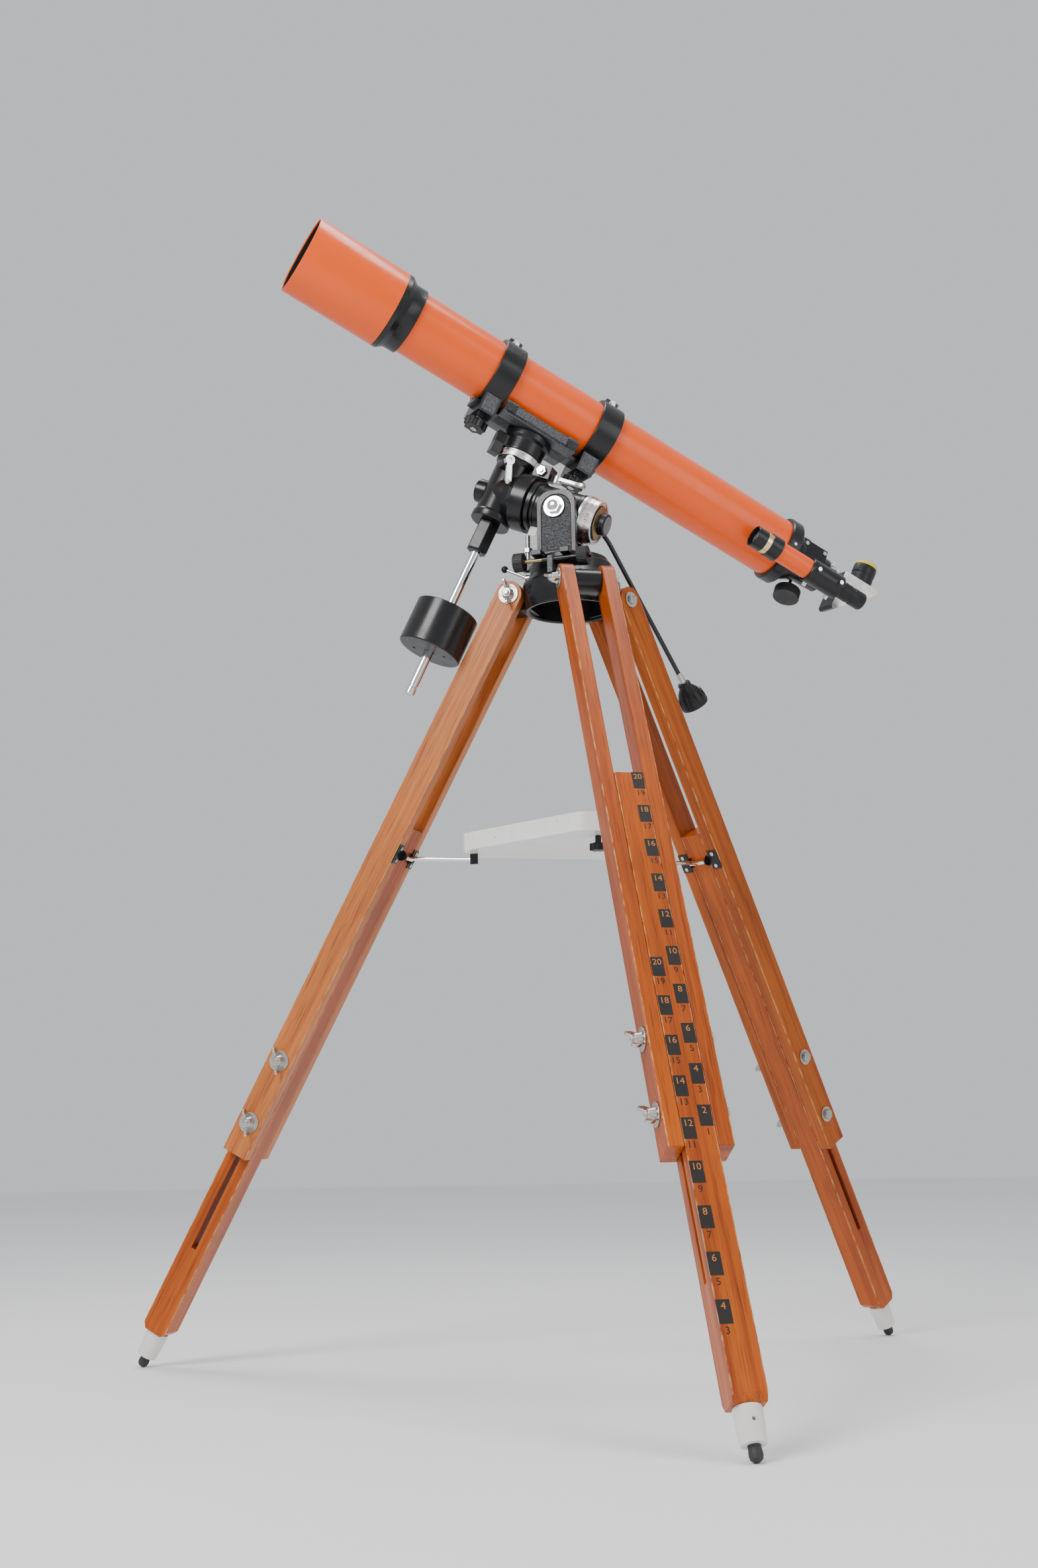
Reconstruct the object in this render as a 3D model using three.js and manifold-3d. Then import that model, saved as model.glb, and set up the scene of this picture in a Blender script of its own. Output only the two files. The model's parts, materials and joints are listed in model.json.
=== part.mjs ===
// A refractor telescope on a German equatorial mount and a folding wooden tripod.
// Millimetres, +Z up. Each nested group is the frame of one part of the machine:
// tripod and leg frames, fork frame, polar (right ascension) frame, declination frame, tube frame.
import * as THREE from "three";
import { mergeVertices } from "three/addons/utils/BufferGeometryUtils.js";
import Module from "manifold-3d";

const wasm = await Module();
wasm.setup();

const DEG = Math.PI / 180;
const GAP = 0.3;

// ---- driving dimensions -------------------------------------------------------------------------
const LEG_ANGLES = { front: -77.33 * DEG, left: 162.67 * DEG, right: 42.67 * DEG };
const NUT_SIDE = { front: -1, left: 1, right: 1 };
const LEG_TILT = 28.367 * DEG;
const HINGE_RADIUS = 79.46;
const HINGE_HEIGHT = 1038.06;
const SLAT = { inner: 18.8, outer: 37.05, half: 18.8, length: 854 };
const BOARD = { halfX: 18.4, halfY: 18.5, top: 348, end: 1126, slotTop: 420, slotEnd: 998.5 };
const CLAMPS = { upper: 713.1, lower: 806.4 };
const ARM = { along: 388.2, inward: 24.9, length: 97.2, radius: 2.8, droop: 3.9 * DEG };
const TRAY = { bottom: 685.3, rim: 24.4, cornerRadius: 151.8, cornerHalf: 34.5, wall: 2 };
const HEAD_TOP = 1079;

const AZIMUTH = -19.05 * DEG;
const LATITUDE = 22.01 * DEG;
const POLAR_HEIGHT = 1153.2;
const PIVOT = { x: -7.9, z: 1152.8 };
const HOUR_ANGLE = -11.52 * DEG;
const DECLINATION = 40.2 * DEG;
const POLAR_TO_DEC = 107.3;
const DEC_TO_TUBE = 153.1;
const TUBE_TURN = Math.PI + DECLINATION;
const DEC_LEVER = { x: 22, z: 37 };

const TUBE_RADIUS = 45;
const TUBE_WALL = 1.8;
const TUBE_BORE = TUBE_RADIUS + GAP;
const RING_CENTRES = { front: 78.5, rear: -87.5 };
const FOOT_CENTRES = { front: 79, rear: -86 };
const PLATE_TILT = 15 * DEG;
const PINION = { x: -465, offset: -22 };
const FINDER = { y: 61, z: -29 };
const CABLE_RADIUS = 3.3;

// ---- solids ---------------------------------------------------------------------------------------
function solid(geometry) {
  const bare = geometry.clone();
  bare.deleteAttribute("normal");
  bare.deleteAttribute("uv");
  const merged = mergeVertices(bare, 1e-3);
  return new wasm.Manifold(
    new wasm.Mesh({
      numProp: 3,
      vertProperties: merged.attributes.position.array,
      triVerts: new Uint32Array(merged.index.array),
    }),
  );
}

function geometryOf(manifold) {
  const mesh = manifold.getMesh();
  return new THREE.BufferGeometry()
    .setAttribute("position", new THREE.BufferAttribute(new Float32Array(mesh.vertProperties), 3))
    .setIndex(new THREE.BufferAttribute(new Uint32Array(mesh.triVerts), 1));
}

function join(...pieces) {
  return geometryOf(pieces.map(solid).reduce((sum, piece) => sum.add(piece)));
}

function cut(body, ...tools) {
  return geometryOf(tools.map(solid).reduce((left, tool) => left.subtract(tool), solid(body)));
}

const FRAMES = {
  x: new THREE.Matrix4().makeBasis(
    new THREE.Vector3(0, 1, 0), new THREE.Vector3(0, 0, 1), new THREE.Vector3(1, 0, 0)),
  y: new THREE.Matrix4().makeBasis(
    new THREE.Vector3(1, 0, 0), new THREE.Vector3(0, 0, 1), new THREE.Vector3(0, -1, 0)),
  z: new THREE.Matrix4(),
};

// A profile of [radius, place] pairs, from the low end outward and back, spun about an axis.
function spin(profile, axis = "z", segments = 24) {
  const points = profile.map(([radius, place]) => new THREE.Vector2(radius, place));
  const geometry = new THREE.LatheGeometry(points, segments);
  if (axis === "x") geometry.rotateZ(-Math.PI / 2);
  if (axis === "z") geometry.rotateX(Math.PI / 2);
  return geometry;
}

function rod(radius, from, to, axis = "z", segments = 14) {
  return spin([[0, from], [radius, from], [radius, to], [0, to]], axis, segments);
}

function pipe(outer, inner, from, to, axis = "z", segments = 24) {
  return spin([[inner, from], [outer, from], [outer, to], [inner, to], [inner, from]], axis, segments);
}

function block(x0, x1, y0, y1, z0, z1) {
  return new THREE.BoxGeometry(x1 - x0, y1 - y0, z1 - z0)
    .translate((x0 + x1) / 2, (y0 + y1) / 2, (z0 + z1) / 2);
}

// A flat outline drawn across an axis and pushed along it: (y, z) for x, (x, z) for y, (x, y) for z.
function slab(outline, from, to, axis = "z", curveSegments = 5) {
  const isShape = outline instanceof THREE.Shape;
  const shape = isShape ? outline : new THREE.Shape(outline.map(([u, v]) => new THREE.Vector2(u, v)));
  const depth = to - from;
  const geometry = new THREE.ExtrudeGeometry(shape, { depth, bevelEnabled: false, curveSegments });
  geometry.translate(0, 0, axis === "y" ? -to : from);
  return geometry.applyMatrix4(FRAMES[axis]);
}

function roundHole(x, y, radius) {
  return new THREE.Path().absarc(x, y, radius, 0, 2 * Math.PI, true);
}

// ---- assembly helpers -----------------------------------------------------------------------------
const MATERIALS = {
  wood: { color: 0xb5602a, roughness: 0.45 },
  blackPaint: { color: 0x17181a, roughness: 0.4 },
  hammered: { color: 0x35373a, roughness: 0.5, metalness: 0.3 },
  chrome: { color: 0xd6d8da, roughness: 0.15, metalness: 1 },
  steel: { color: 0x9a9a96, roughness: 0.35, metalness: 1 },
  orange: { color: 0xd9581c, roughness: 0.3 },
  whiteEnamel: { color: 0xe9e7e2, roughness: 0.35 },
  rubber: { color: 0x1b1b1c, roughness: 0.7 },
  dial: { color: 0xd8d4cc, roughness: 0.3, metalness: 0.6 },
  glass: { color: 0x9fb8c4, roughness: 0.05 },
};

function part(name, geometry, finish, group) {
  const mesh = new THREE.Mesh(geometry, new THREE.MeshStandardMaterial(MATERIALS[finish]));
  mesh.name = name;
  group.add(mesh);
  return mesh;
}

function frame(name, parent, place = {}) {
  const group = new THREE.Group();
  group.name = name;
  group.position.set(place.x ?? 0, place.y ?? 0, place.z ?? 0);
  group.rotation.set(place.rx ?? 0, place.ry ?? 0, place.rz ?? 0);
  parent.add(group);
  return group;
}

// ---- tripod ---------------------------------------------------------------------------------------
function headCasting() {
  let head = spin([
    [0, 1052], [56, 1052], [58, 1046], [58, 1014], [64, 1014],
    [68.4, 1049], [57.2, 1062.5], [57.2, HEAD_TOP], [0, HEAD_TOP],
  ], "z", 32);
  for (const angle of Object.values(LEG_ANGLES)) {
    const lug = block(50, 98, -18.3, 18.3, 1018, 1050);
    const bore = rod(4.4, -30, 30, "y", 12).translate(HINGE_RADIUS, 0, HINGE_HEIGHT);
    const pockets = [-1, 1].map((side) =>
      block(59, 105, Math.min(side * 18.3, side * 38.7), Math.max(side * 18.3, side * 38.7), 1005, 1060));
    head = join(head, lug.rotateZ(angle));
    head = cut(head, bore.rotateZ(angle), ...pockets.map((pocket) => pocket.rotateZ(angle)));
  }
  const tab = block(-12, -4, -70, -50, 1053, 1077);
  return join(head, tab.rotateZ(AZIMUTH));
}

function slatSolid(side) {
  const outline = new THREE.Shape();
  outline.moveTo(-SLAT.half, -SLAT.length);
  outline.lineTo(SLAT.half, -SLAT.length);
  outline.lineTo(SLAT.half, 0);
  outline.absarc(0, 0, SLAT.half, 0, Math.PI, false);
  outline.lineTo(-SLAT.half, -SLAT.length);
  outline.holes.push(roundHole(0, 0, 4.4));
  for (const place of Object.values(CLAMPS)) outline.holes.push(roundHole(0, -place, 3.4));
  const [from, to] = side > 0 ? [SLAT.inner, SLAT.outer] : [-SLAT.outer, -SLAT.inner];
  return slab(outline, from, to, "x");
}

function boardSolid() {
  const chamfer = 6;
  const outline = new THREE.Shape([
    [-BOARD.halfY, -BOARD.top], [-BOARD.halfY, -BOARD.end + chamfer], [-BOARD.halfY + chamfer, -BOARD.end],
    [BOARD.halfY - chamfer, -BOARD.end], [BOARD.halfY, -BOARD.end + chamfer], [BOARD.halfY, -BOARD.top],
  ].map(([u, v]) => new THREE.Vector2(u, v)));
  const slotHalf = 3.7;
  outline.holes.push(new THREE.Path([
    [-slotHalf, -BOARD.slotTop], [-slotHalf, -BOARD.slotEnd], [slotHalf, -BOARD.slotEnd],
    [slotHalf, -BOARD.slotTop],
  ].map(([u, v]) => new THREE.Vector2(u, v))));
  return slab(outline, -BOARD.halfX, BOARD.halfX, "x");
}

function footSolid() {
  const top = -BOARD.end - GAP;
  return spin([
    [0, -1179.7], [4, -1178.9], [6.6, -1176.5], [7.6, -1172], [7.2, -1163],
    [13.7, -1163], [15.5, top], [0, top],
  ], "z", 16);
}

// A bolt along x with a hex head on one side and a wing nut on the other.
function wingBolt(shank, side) {
  const face = SLAT.outer + GAP;
  const wing = [[3, face], [3, face + 8], [14, face + 17], [19, face + 14], [19, face + 10], [9, face]];
  const wings = [0, Math.PI].map((turn) =>
    slab(wing, -1.8, 1.8, "y").rotateY(Math.PI / 2).rotateX(turn));
  const bolt = join(
    rod(shank, -face - 3, face + 12, "x", 10),
    rod(8, -face - 6, -face, "x", 6),
    rod(8, face, face + 9, "x", 10),
    ...wings,
  );
  return side > 0 ? bolt : bolt.rotateY(Math.PI);
}

function trayArmSolid() {
  const eye = pipe(6.5, 3.2, -2.4, 2.4, "x", 12).translate(0, ARM.length, 0);
  const shaft = rod(ARM.radius, 0, ARM.length - 4, "y", 10);
  const crossPin = rod(ARM.radius, -14, 14, "x", 10);
  return join(shaft, eye, crossPin);
}

function trayOutline(inset) {
  const points = [];
  for (const angle of [LEG_ANGLES.front, LEG_ANGLES.right, LEG_ANGLES.left]) {
    for (const side of [-1, 1]) {
      const reach = new THREE.Vector2(TRAY.cornerRadius - inset, side * (TRAY.cornerHalf - inset * 0.577));
      reach.rotateAround(new THREE.Vector2(), angle);
      points.push([reach.x, reach.y]);
    }
  }
  return points;
}

function traySolid() {
  const top = TRAY.bottom + TRAY.rim;
  const outer = slab(trayOutline(0), TRAY.bottom, top);
  const inner = slab(trayOutline(TRAY.wall), TRAY.bottom + TRAY.wall, top + 1);
  const hooks = Object.values(LEG_ANGLES).map((angle) =>
    block(139, 150, 3.2, 6.4, 671, TRAY.bottom + 1).rotateZ(angle));
  return join(cut(outer, inner), ...hooks);
}

function trayKnobSolid() {
  const grip = new THREE.Shape();
  const lobes = 6;
  const steps = lobes * 4;
  for (let i = 0; i < steps; i += 1) {
    const angle = (2 * Math.PI * i) / steps;
    const radius = 10 + 1.5 * Math.cos(lobes * angle);
    const corner = [radius * Math.cos(angle), radius * Math.sin(angle)];
    if (i === 0) grip.moveTo(...corner);
    else grip.lineTo(...corner);
  }
  const stem = rod(4, TRAY.bottom - 12, TRAY.bottom - GAP, "z", 10);
  return join(slab(grip, TRAY.bottom - 20, TRAY.bottom - 10), stem);
}

function buildTripod(root) {
  part("tripod_head", headCasting(), "blackPaint", root);
  for (const [name, angle] of Object.entries(LEG_ANGLES)) {
    const yaw = frame(`${name}_yaw`, root, {
      x: HINGE_RADIUS * Math.cos(angle), y: HINGE_RADIUS * Math.sin(angle), z: HINGE_HEIGHT,
      rz: angle + Math.PI / 2,
    });
    const leg = frame(`leg_${name}`, yaw, { rx: -LEG_TILT });
    part(`leg_${name}_slat_a`, slatSolid(-1), "wood", leg);
    part(`leg_${name}_slat_b`, slatSolid(1), "wood", leg);
    part(`hinge_bolt_${name}`, wingBolt(4, NUT_SIDE[name]), "steel", leg);
    for (const [level, place] of Object.entries(CLAMPS)) {
      const seat = frame(`clamp_${name}_${level}`, leg, { z: -place });
      part(`clamp_screw_${name}_${level}`, wingBolt(3, NUT_SIDE[name]), "steel", seat);
    }
    part(`leg_${name}_board`, boardSolid(), "wood", leg);
    part(`foot_${name}`, footSolid(), "whiteEnamel", leg);
    const arm = frame(`arm_${name}`, leg, { y: ARM.inward, z: -ARM.along, rx: LEG_TILT - ARM.droop });
    part(`tray_arm_${name}`, trayArmSolid(), "chrome", arm);
  }
  part("tray", traySolid(), "whiteEnamel", root);
  const knob = frame("tray_knob_place", root, {
    x: 112 * Math.cos(LEG_ANGLES.front), y: 112 * Math.sin(LEG_ANGLES.front),
  });
  part("tray_knob", trayKnobSolid(), "blackPaint", knob);
}

// ---- fork, azimuth and latitude -------------------------------------------------------------------
const SCREW = { y: -64, z: 1072.5 };

function cheek(x0, x1, y0, y1) {
  const corner = Math.min(20, (x1 - x0) / 2 - 0.5);
  const top = 1177;
  const outline = new THREE.Shape();
  outline.moveTo(x0, 1084);
  outline.lineTo(x1, 1084);
  outline.lineTo(x1, top - corner);
  outline.absarc(x1 - corner, top - corner, corner, 0, Math.PI / 2, false);
  outline.absarc(x0 + corner, top - corner, corner, Math.PI / 2, Math.PI, false);
  outline.lineTo(x0, 1084);
  return slab(outline, y0, y1, "y", 6);
}

function forkSolid() {
  const screwHolders = [[-35, -20.5], [6, 19]].map(([x0, x1]) => join(
    block(x0, x1, -70, -40, HEAD_TOP + GAP, 1087),
    block(x0, x1, -70, -58, SCREW.z, 1086),
    rod(6.3, x0, x1, "x", 12).translate(0, SCREW.y, SCREW.z),
  ));
  const body = join(
    rod(52, HEAD_TOP + GAP, 1087, "z", 32),
    cheek(-33.5, 21.9, -45, -36),
    cheek(-33.5, 5, 36, 45),
    block(-70, -40, -8, 8, HEAD_TOP + GAP, 1095),
    ...screwHolders,
  );
  return cut(
    body,
    rod(6.4, -60, 60, "y", 20).translate(PIVOT.x, 0, PIVOT.z),
    rod(3.9, 1070, 1100, "z", 10).translate(-62, 0, 0),
    rod(3.2, -50, 40, "x", 10).translate(0, SCREW.y, SCREW.z),
  );
}

function azimuthScrew(side) {
  return side < 0
    ? join(rod(2.8, -50, -12.3, "x", 10), rod(13, -60, -46, "x", 20))
    : join(rod(2.8, -3.7, 40, "x", 10), rod(13, 31, 45, "x", 20));
}

function azimuthLeverSolid() {
  const stub = rod(5, -66, -57.7, "x", 10);
  const reach = 38;
  const arm = rod(2.2, 0, reach, "x", 10).rotateY(Math.PI + 26.6 * DEG).translate(-63, 0, 0);
  const ball = new THREE.SphereGeometry(5, 8, 6)
    .translate(-63 - reach * Math.cos(26.6 * DEG), 0, reach * Math.sin(26.6 * DEG));
  return join(stub, arm, ball);
}

function latitudeBoltSolid() {
  return join(
    rod(11, -55, -47, "y", 6),
    rod(15, -47.5, -45.3, "y", 24),
    rod(6, -46, -24, "y", 12),
  );
}

// ---- right ascension ------------------------------------------------------------------------------
function raHousingSolid(pivotX, pivotZ) {
  const body = join(
    spin([
      [0, -56], [36.5, -56], [36.5, -48], [33, -48], [33, 22], [24, 22], [24, 46.2], [15.7, 46.2],
      [15.7, 57], [14, 59], [0, 59],
    ], "x", 24),
    rod(6.5, 25, 37, "z", 10).translate(-35.6, 0, 0),
    rod(14, -35.6, 35.6, "y", 24).translate(pivotX, 0, pivotZ),
    block(14, 22, 26, 50, -9, 4),
  );
  return cut(body, rod(6.3, -40, -22, "y", 12).translate(pivotX, 0, pivotZ));
}

function raLeverSolid() {
  return join(
    rod(7, 37.3, 49, "z", 16),
    slab([[-5, -4], [0, -6], [28, -5], [42, -7], [42, 7], [28, 5], [0, 6], [-5, 4]], 41, 48, "z"),
  );
}

// ---- declination ----------------------------------------------------------------------------------
function decHousingSolid() {
  return join(
    spin([
      [0, -45], [28.6, -45], [28.6, -34], [27, -32], [27, 45], [30, 51], [24, 51], [24, 63.7], [0, 63.7],
    ], "z", 24),
    spin([[0, -37.7], [17, -37.7], [17, -20], [29, 0], [33, 20], [41, 29], [41, 51], [0, 51]], "x", 24),
    block(37, 63, -12, 12, 38, 57).rotateX(-HOUR_ANGLE),
    rod(8, 10, 33, "y", 12).translate(DEC_LEVER.x, 0, DEC_LEVER.z).rotateZ(TUBE_TURN),
  );
}

function decLeverSolid() {
  const arm = [[-4, -2], [4, 2], [-7, -30], [-15, -27]];
  const ball = new THREE.SphereGeometry(4, 8, 6).translate(-11, 39, -29);
  return join(rod(7, 33.3, 42, "y", 12), slab(arm, 36, 41, "y"), ball);
}

function decHeadSolid() {
  return join(
    spin([[0, -89.1], [30.5, -89.1], [30.5, -70], [34.5, -68], [34.5, -57.3], [0, -57.3]], "z", 24),
    block(20, 46, -9, 9, -88, -71),
    block(31.7, 46, -9, 9, -104, -71),
  );
}

function counterweightShaftSolid() {
  return join(rod(16, -92, -45.3, "z", 6), rod(7, -318.8, -90, "z", 20));
}

// ---- saddle, rings and optical tube ---------------------------------------------------------------
function saddleSolid() {
  const base = [[-60, -34], [-56, -38], [56, -38], [60, -34], [60, 34], [56, 38], [-56, 38], [-60, 34]];
  const rails = [-1, 1].flatMap((side) => {
    const [y0, y1] = side > 0 ? [31, 38] : [-38, -31];
    return [block(-60, 60, y0, y1, -57, -39), block(41, 60, y0, y1, -57, -37), block(-60, -41, y0, y1, -57, -37)];
  });
  return join(slab(base, -57, -50.5), block(-105, 99, -15, 15, -57, -50.3), ...rails);
}

function ringSolid(centre, footCentre) {
  const ring = rod(51, centre - 17, centre + 17, "x", 32);
  const boss = block(centre - 10, centre + 10, -9, 9, 46, 58);
  const foot = block(footCentre - 13, footCentre + 13, -30, 30, -70, -30);
  return cut(
    join(ring, boss, foot),
    rod(TUBE_BORE, centre - 60, centre + 60, "x", 32),
    block(footCentre - 20, footCentre + 20, -15.4, 15.4, -57.4, -49.8),
  );
}

function saddleKnobSolid() {
  const grip = new THREE.Shape();
  const lobes = 7;
  const steps = lobes * 4;
  for (let i = 0; i < steps; i += 1) {
    const angle = (2 * Math.PI * i) / steps;
    const radius = 15.5 + 1.5 * Math.cos(lobes * angle);
    const corner = [radius * Math.cos(angle), radius * Math.sin(angle)];
    if (i === 0) grip.moveTo(...corner);
    else grip.lineTo(...corner);
  }
  return join(slab(grip, -87, -74), rod(8, -76, -70.4, "z", 16));
}

function lensCellSolid() {
  return spin([
    [TUBE_BORE, 225], [48.5, 225], [48.5, 243], [55.5, 252], [55.5, 258.5], [53.2, 258.5], [53.2, 284],
    [42, 284], [42, 262], [39.5, 262], [39.5, 243], [TUBE_BORE, 243], [TUBE_BORE, 225],
  ], "x", 32);
}

function lensSolid() {
  return spin([
    [0, 262.5], [22, 263.4], [39, 265.2], [41.6, 265.5], [41.6, 273], [39, 274], [22, 277.4], [0, 278.5],
  ], "x", 32);
}

function tailRingSolid() {
  return spin([
    [30, -432], [49, -432], [50.5, -430], [50.5, -414], [49, -412], [TUBE_BORE, -412], [TUBE_BORE, -428.3],
    [30, -428.3], [30, -432],
  ], "x", 32);
}

function focuserSolid() {
  const body = spin([
    [17.4, -500], [27, -500], [28, -462], [38, -441], [38, -432.3], [17.4, -432.3], [17.4, -500],
  ], "x", 24);
  const plate = block(-485, -441, 22, 34, -20, 20).rotateX(PLATE_TILT);
  const pinionBore = rod(3.5, -60, 60, "z", 10).translate(PINION.x, PINION.offset, 0).rotateX(PLATE_TILT);
  const drawtubeBore = rod(17.4, -520, -420, "x", 24);
  return cut(join(body, plate), drawtubeBore, pinionBore);
}

function focusKnobSolid() {
  const knobs = [-1, 1].map((side) => {
    const [from, to] = side > 0 ? [37, 52] : [-52, -37];
    return rod(20, from, to, "z", 32);
  });
  return join(rod(3, -45, 45, "z", 10), ...knobs);
}

function drawtubeSolid() {
  return spin([
    [15.9, -519.7], [19.5, -519.7], [19.5, -507], [17, -507], [17, -440], [15.9, -440], [15.9, -519.7],
  ], "x", 36);
}

function diagonalSolid() {
  const outline = [[-526, 21], [-586, 21], [-592, 15], [-588, 10], [-538, -38], [-531, -42], [-526, -38]];
  return cut(
    join(
      slab(outline, -20, 20, "y"),
      rod(17.5, -527, -520.2, "x", 24),
      rod(15.5, -521, -508, "x", 24),
    ),
    rod(12.4, 8, 30, "z", 24).translate(-565, 0, 0),
  );
}

function eyepieceSolid() {
  return spin([[0, 9], [12, 9], [12, 21.3], [18, 21.3], [18, 50], [15, 57], [0, 57]], "z", 28)
    .translate(-565, 0, 0);
}

function finderSolid() {
  const scope = spin([
    [0, -552], [12, -552], [13.3, -550], [13.3, -507], [18.5, -507], [18.5, -449], [15.3, -449],
    [15.3, -395], [17.5, -395], [17.5, -376], [15.9, -376], [15.9, -368], [16, -350], [14, -350],
    [14, -357], [0, -357],
  ], "x", 28).translate(0, FINDER.y, FINDER.z);
  const lean = Math.atan2(FINDER.z, FINDER.y);
  const stalk = block(-498, -487, 28.4, 56, -5, 5).rotateX(lean);
  return join(scope, stalk);
}

// ---- slow motion cable ----------------------------------------------------------------------------
// The route of the flexible shaft, from its gland on the polar housing to the ferrule of its knob.
const CABLE_ROUTE = [
  [33.1, 34.5, 1142.4], [39.5, 32.4, 1139.4], [46, 31.2, 1135], [51.6, 31.8, 1128.6], [56.6, 34.4, 1121],
  [62, 39, 1111.8], [69.6, 46.6, 1099.1], [77.5, 54.5, 1086], [85.5, 62.8, 1072.9], [93.6, 71.2, 1059.8],
  [101.7, 79.6, 1046.7], [109.8, 88, 1033.6], [117.9, 96.4, 1020.5], [126, 104.8, 1007.4],
  [133.8, 112.9, 994.7], [141.6, 121, 982], [156, 136, 958.6],
];

function cableSolid() {
  const curve = new THREE.CatmullRomCurve3(CABLE_ROUTE.map((point) => new THREE.Vector3(...point)));
  const section = new THREE.Shape().absarc(0, 0, CABLE_RADIUS, 0, 2 * Math.PI, false);
  const steps = 22;
  return new THREE.ExtrudeGeometry(section, { extrudePath: curve, steps, curveSegments: 4, bevelEnabled: false });
}

function cableKnobSolid() {
  return spin([
    [0, GAP], [4.6, GAP], [5, 18], [9, 19], [11, 28], [16, 42], [20, 50], [21, 54], [19, 57], [0, 57],
  ], "z", 24);
}

function buildCable(root) {
  part("slow_motion_cable", cableSolid(), "rubber", root);
  const end = new THREE.Vector3(...CABLE_ROUTE.at(-1));
  const along = end.clone().sub(new THREE.Vector3(...CABLE_ROUTE.at(-2))).normalize();
  const seat = frame("cable_knob_place", root, end);
  seat.quaternion.setFromUnitVectors(new THREE.Vector3(0, 0, 1), along);
  part("slow_motion_knob", cableKnobSolid(), "blackPaint", seat);
}

// ---- the whole mount and tube ---------------------------------------------------------------------
function buildMount(root) {
  const fork = frame("fork", root, { rz: AZIMUTH });
  part("mount_base", forkSolid(), "hammered", fork);
  part("azimuth_screw_left", azimuthScrew(-1), "blackPaint", frame("screw_left", fork, SCREW));
  part("azimuth_screw_right", azimuthScrew(1), "blackPaint", frame("screw_right", fork, SCREW));
  part("azimuth_lever", azimuthLeverSolid(), "steel", frame("azimuth_lever_place", fork, { z: 1069 }));
  const pivot = frame("latitude_pivot", fork, PIVOT);
  part("latitude_bolt", latitudeBoltSolid(), "chrome", pivot);
  const screw = join(rod(3.5, 1081, 1131, "z", 10), rod(6.5, 1106, 1112, "z", 6));
  part("latitude_screw", screw, "steel", frame("latitude_screw_place", fork, { x: -62 }));

  const polar = frame("polar", fork, { z: POLAR_HEIGHT, ry: LATITUDE });
  const drop = PIVOT.z - POLAR_HEIGHT;
  const pivotX = PIVOT.x * Math.cos(LATITUDE) - drop * Math.sin(LATITUDE);
  const pivotZ = PIVOT.x * Math.sin(LATITUDE) + drop * Math.cos(LATITUDE);
  part("ra_housing", raHousingSolid(pivotX, pivotZ), "blackPaint", polar);
  part("ra_circle", pipe(34, 24.4, 22.4, 45.9, "x", 32), "dial", polar);
  part("ra_lever", raLeverSolid(), "chrome", frame("ra_lever_place", polar, { x: -35.6 }));

  const dec = frame("dec", polar, { x: -POLAR_TO_DEC, rx: HOUR_ANGLE });
  part("dec_housing", decHousingSolid(), "blackPaint", dec);
  part("dec_circle", pipe(31, 24.4, 51.4, 63.6, "z", 32), "dial", dec);
  const side = frame("dec_side", dec, { rz: TUBE_TURN });
  part("dec_lever", decLeverSolid(), "chrome", frame("dec_lever_place", side, DEC_LEVER));
  part("counterweight_shaft", counterweightShaftSolid(), "chrome", dec);
  part("counterweight", pipe(45, 7.4, -252.3, -187, "z", 24), "blackPaint", dec);

  const tube = frame("tube", dec, { z: DEC_TO_TUBE, rz: TUBE_TURN });
  part("dec_head", decHeadSolid(), "blackPaint", tube);
  part("saddle_plate", saddleSolid(), "hammered", tube);
  for (const end of ["front", "rear"]) {
    part(`ring_${end}`, ringSolid(RING_CENTRES[end], FOOT_CENTRES[end]), "blackPaint", tube);
    const seat = frame(`saddle_knob_${end}_place`, tube, { x: FOOT_CENTRES[end] });
    part(`saddle_knob_${end}`, saddleKnobSolid(), "blackPaint", seat);
  }
  part("main_tube", pipe(TUBE_RADIUS, TUBE_RADIUS - TUBE_WALL, -428, 242.7, "x", 32), "orange", tube);
  part("lens_cell", lensCellSolid(), "blackPaint", tube);
  part("objective_lens", lensSolid(), "glass", tube);
  part("dew_shield", pipe(55.5, 53.6, 258.8, 400.4, "x", 32), "orange", tube);
  part("tail_ring", tailRingSolid(), "blackPaint", tube);
  part("focuser_body", focuserSolid(), "blackPaint", tube);
  const plate = frame("pinion_side", tube, { rx: PLATE_TILT });
  const pinion = frame("pinion", plate, { x: PINION.x, y: PINION.offset });
  part("focus_knob", focusKnobSolid(), "rubber", pinion);
  part("drawtube", drawtubeSolid(), "blackPaint", tube);
  part("diagonal", diagonalSolid(), "blackPaint", tube);
  part("eyepiece", eyepieceSolid(), "blackPaint", tube);
  part("finder", finderSolid(), "orange", tube);
}

// The part stands on z = 0, centred on its box without the free cable and its knob.
function standOnFloor(root) {
  const box = new THREE.Box3();
  root.updateMatrixWorld(true);
  root.traverse((object) => {
    if (object.isMesh && !object.name.startsWith("slow_motion")) box.expandByObject(object, true);
  });
  const middle = box.getCenter(new THREE.Vector3());
  root.position.set(-middle.x, -middle.y, -box.min.z);
}

function build() {
  const root = new THREE.Group();
  root.name = "telescope";
  buildTripod(root);
  buildMount(root);
  buildCable(root);
  standOnFloor(root);
  return root;
}

export default build();
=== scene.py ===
"""Looks of a refractor telescope on an equatorial mount and a wooden tripod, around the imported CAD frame."""

import json
import math

import bmesh
import bpy
from mathutils import Euler, Matrix, Vector


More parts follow.
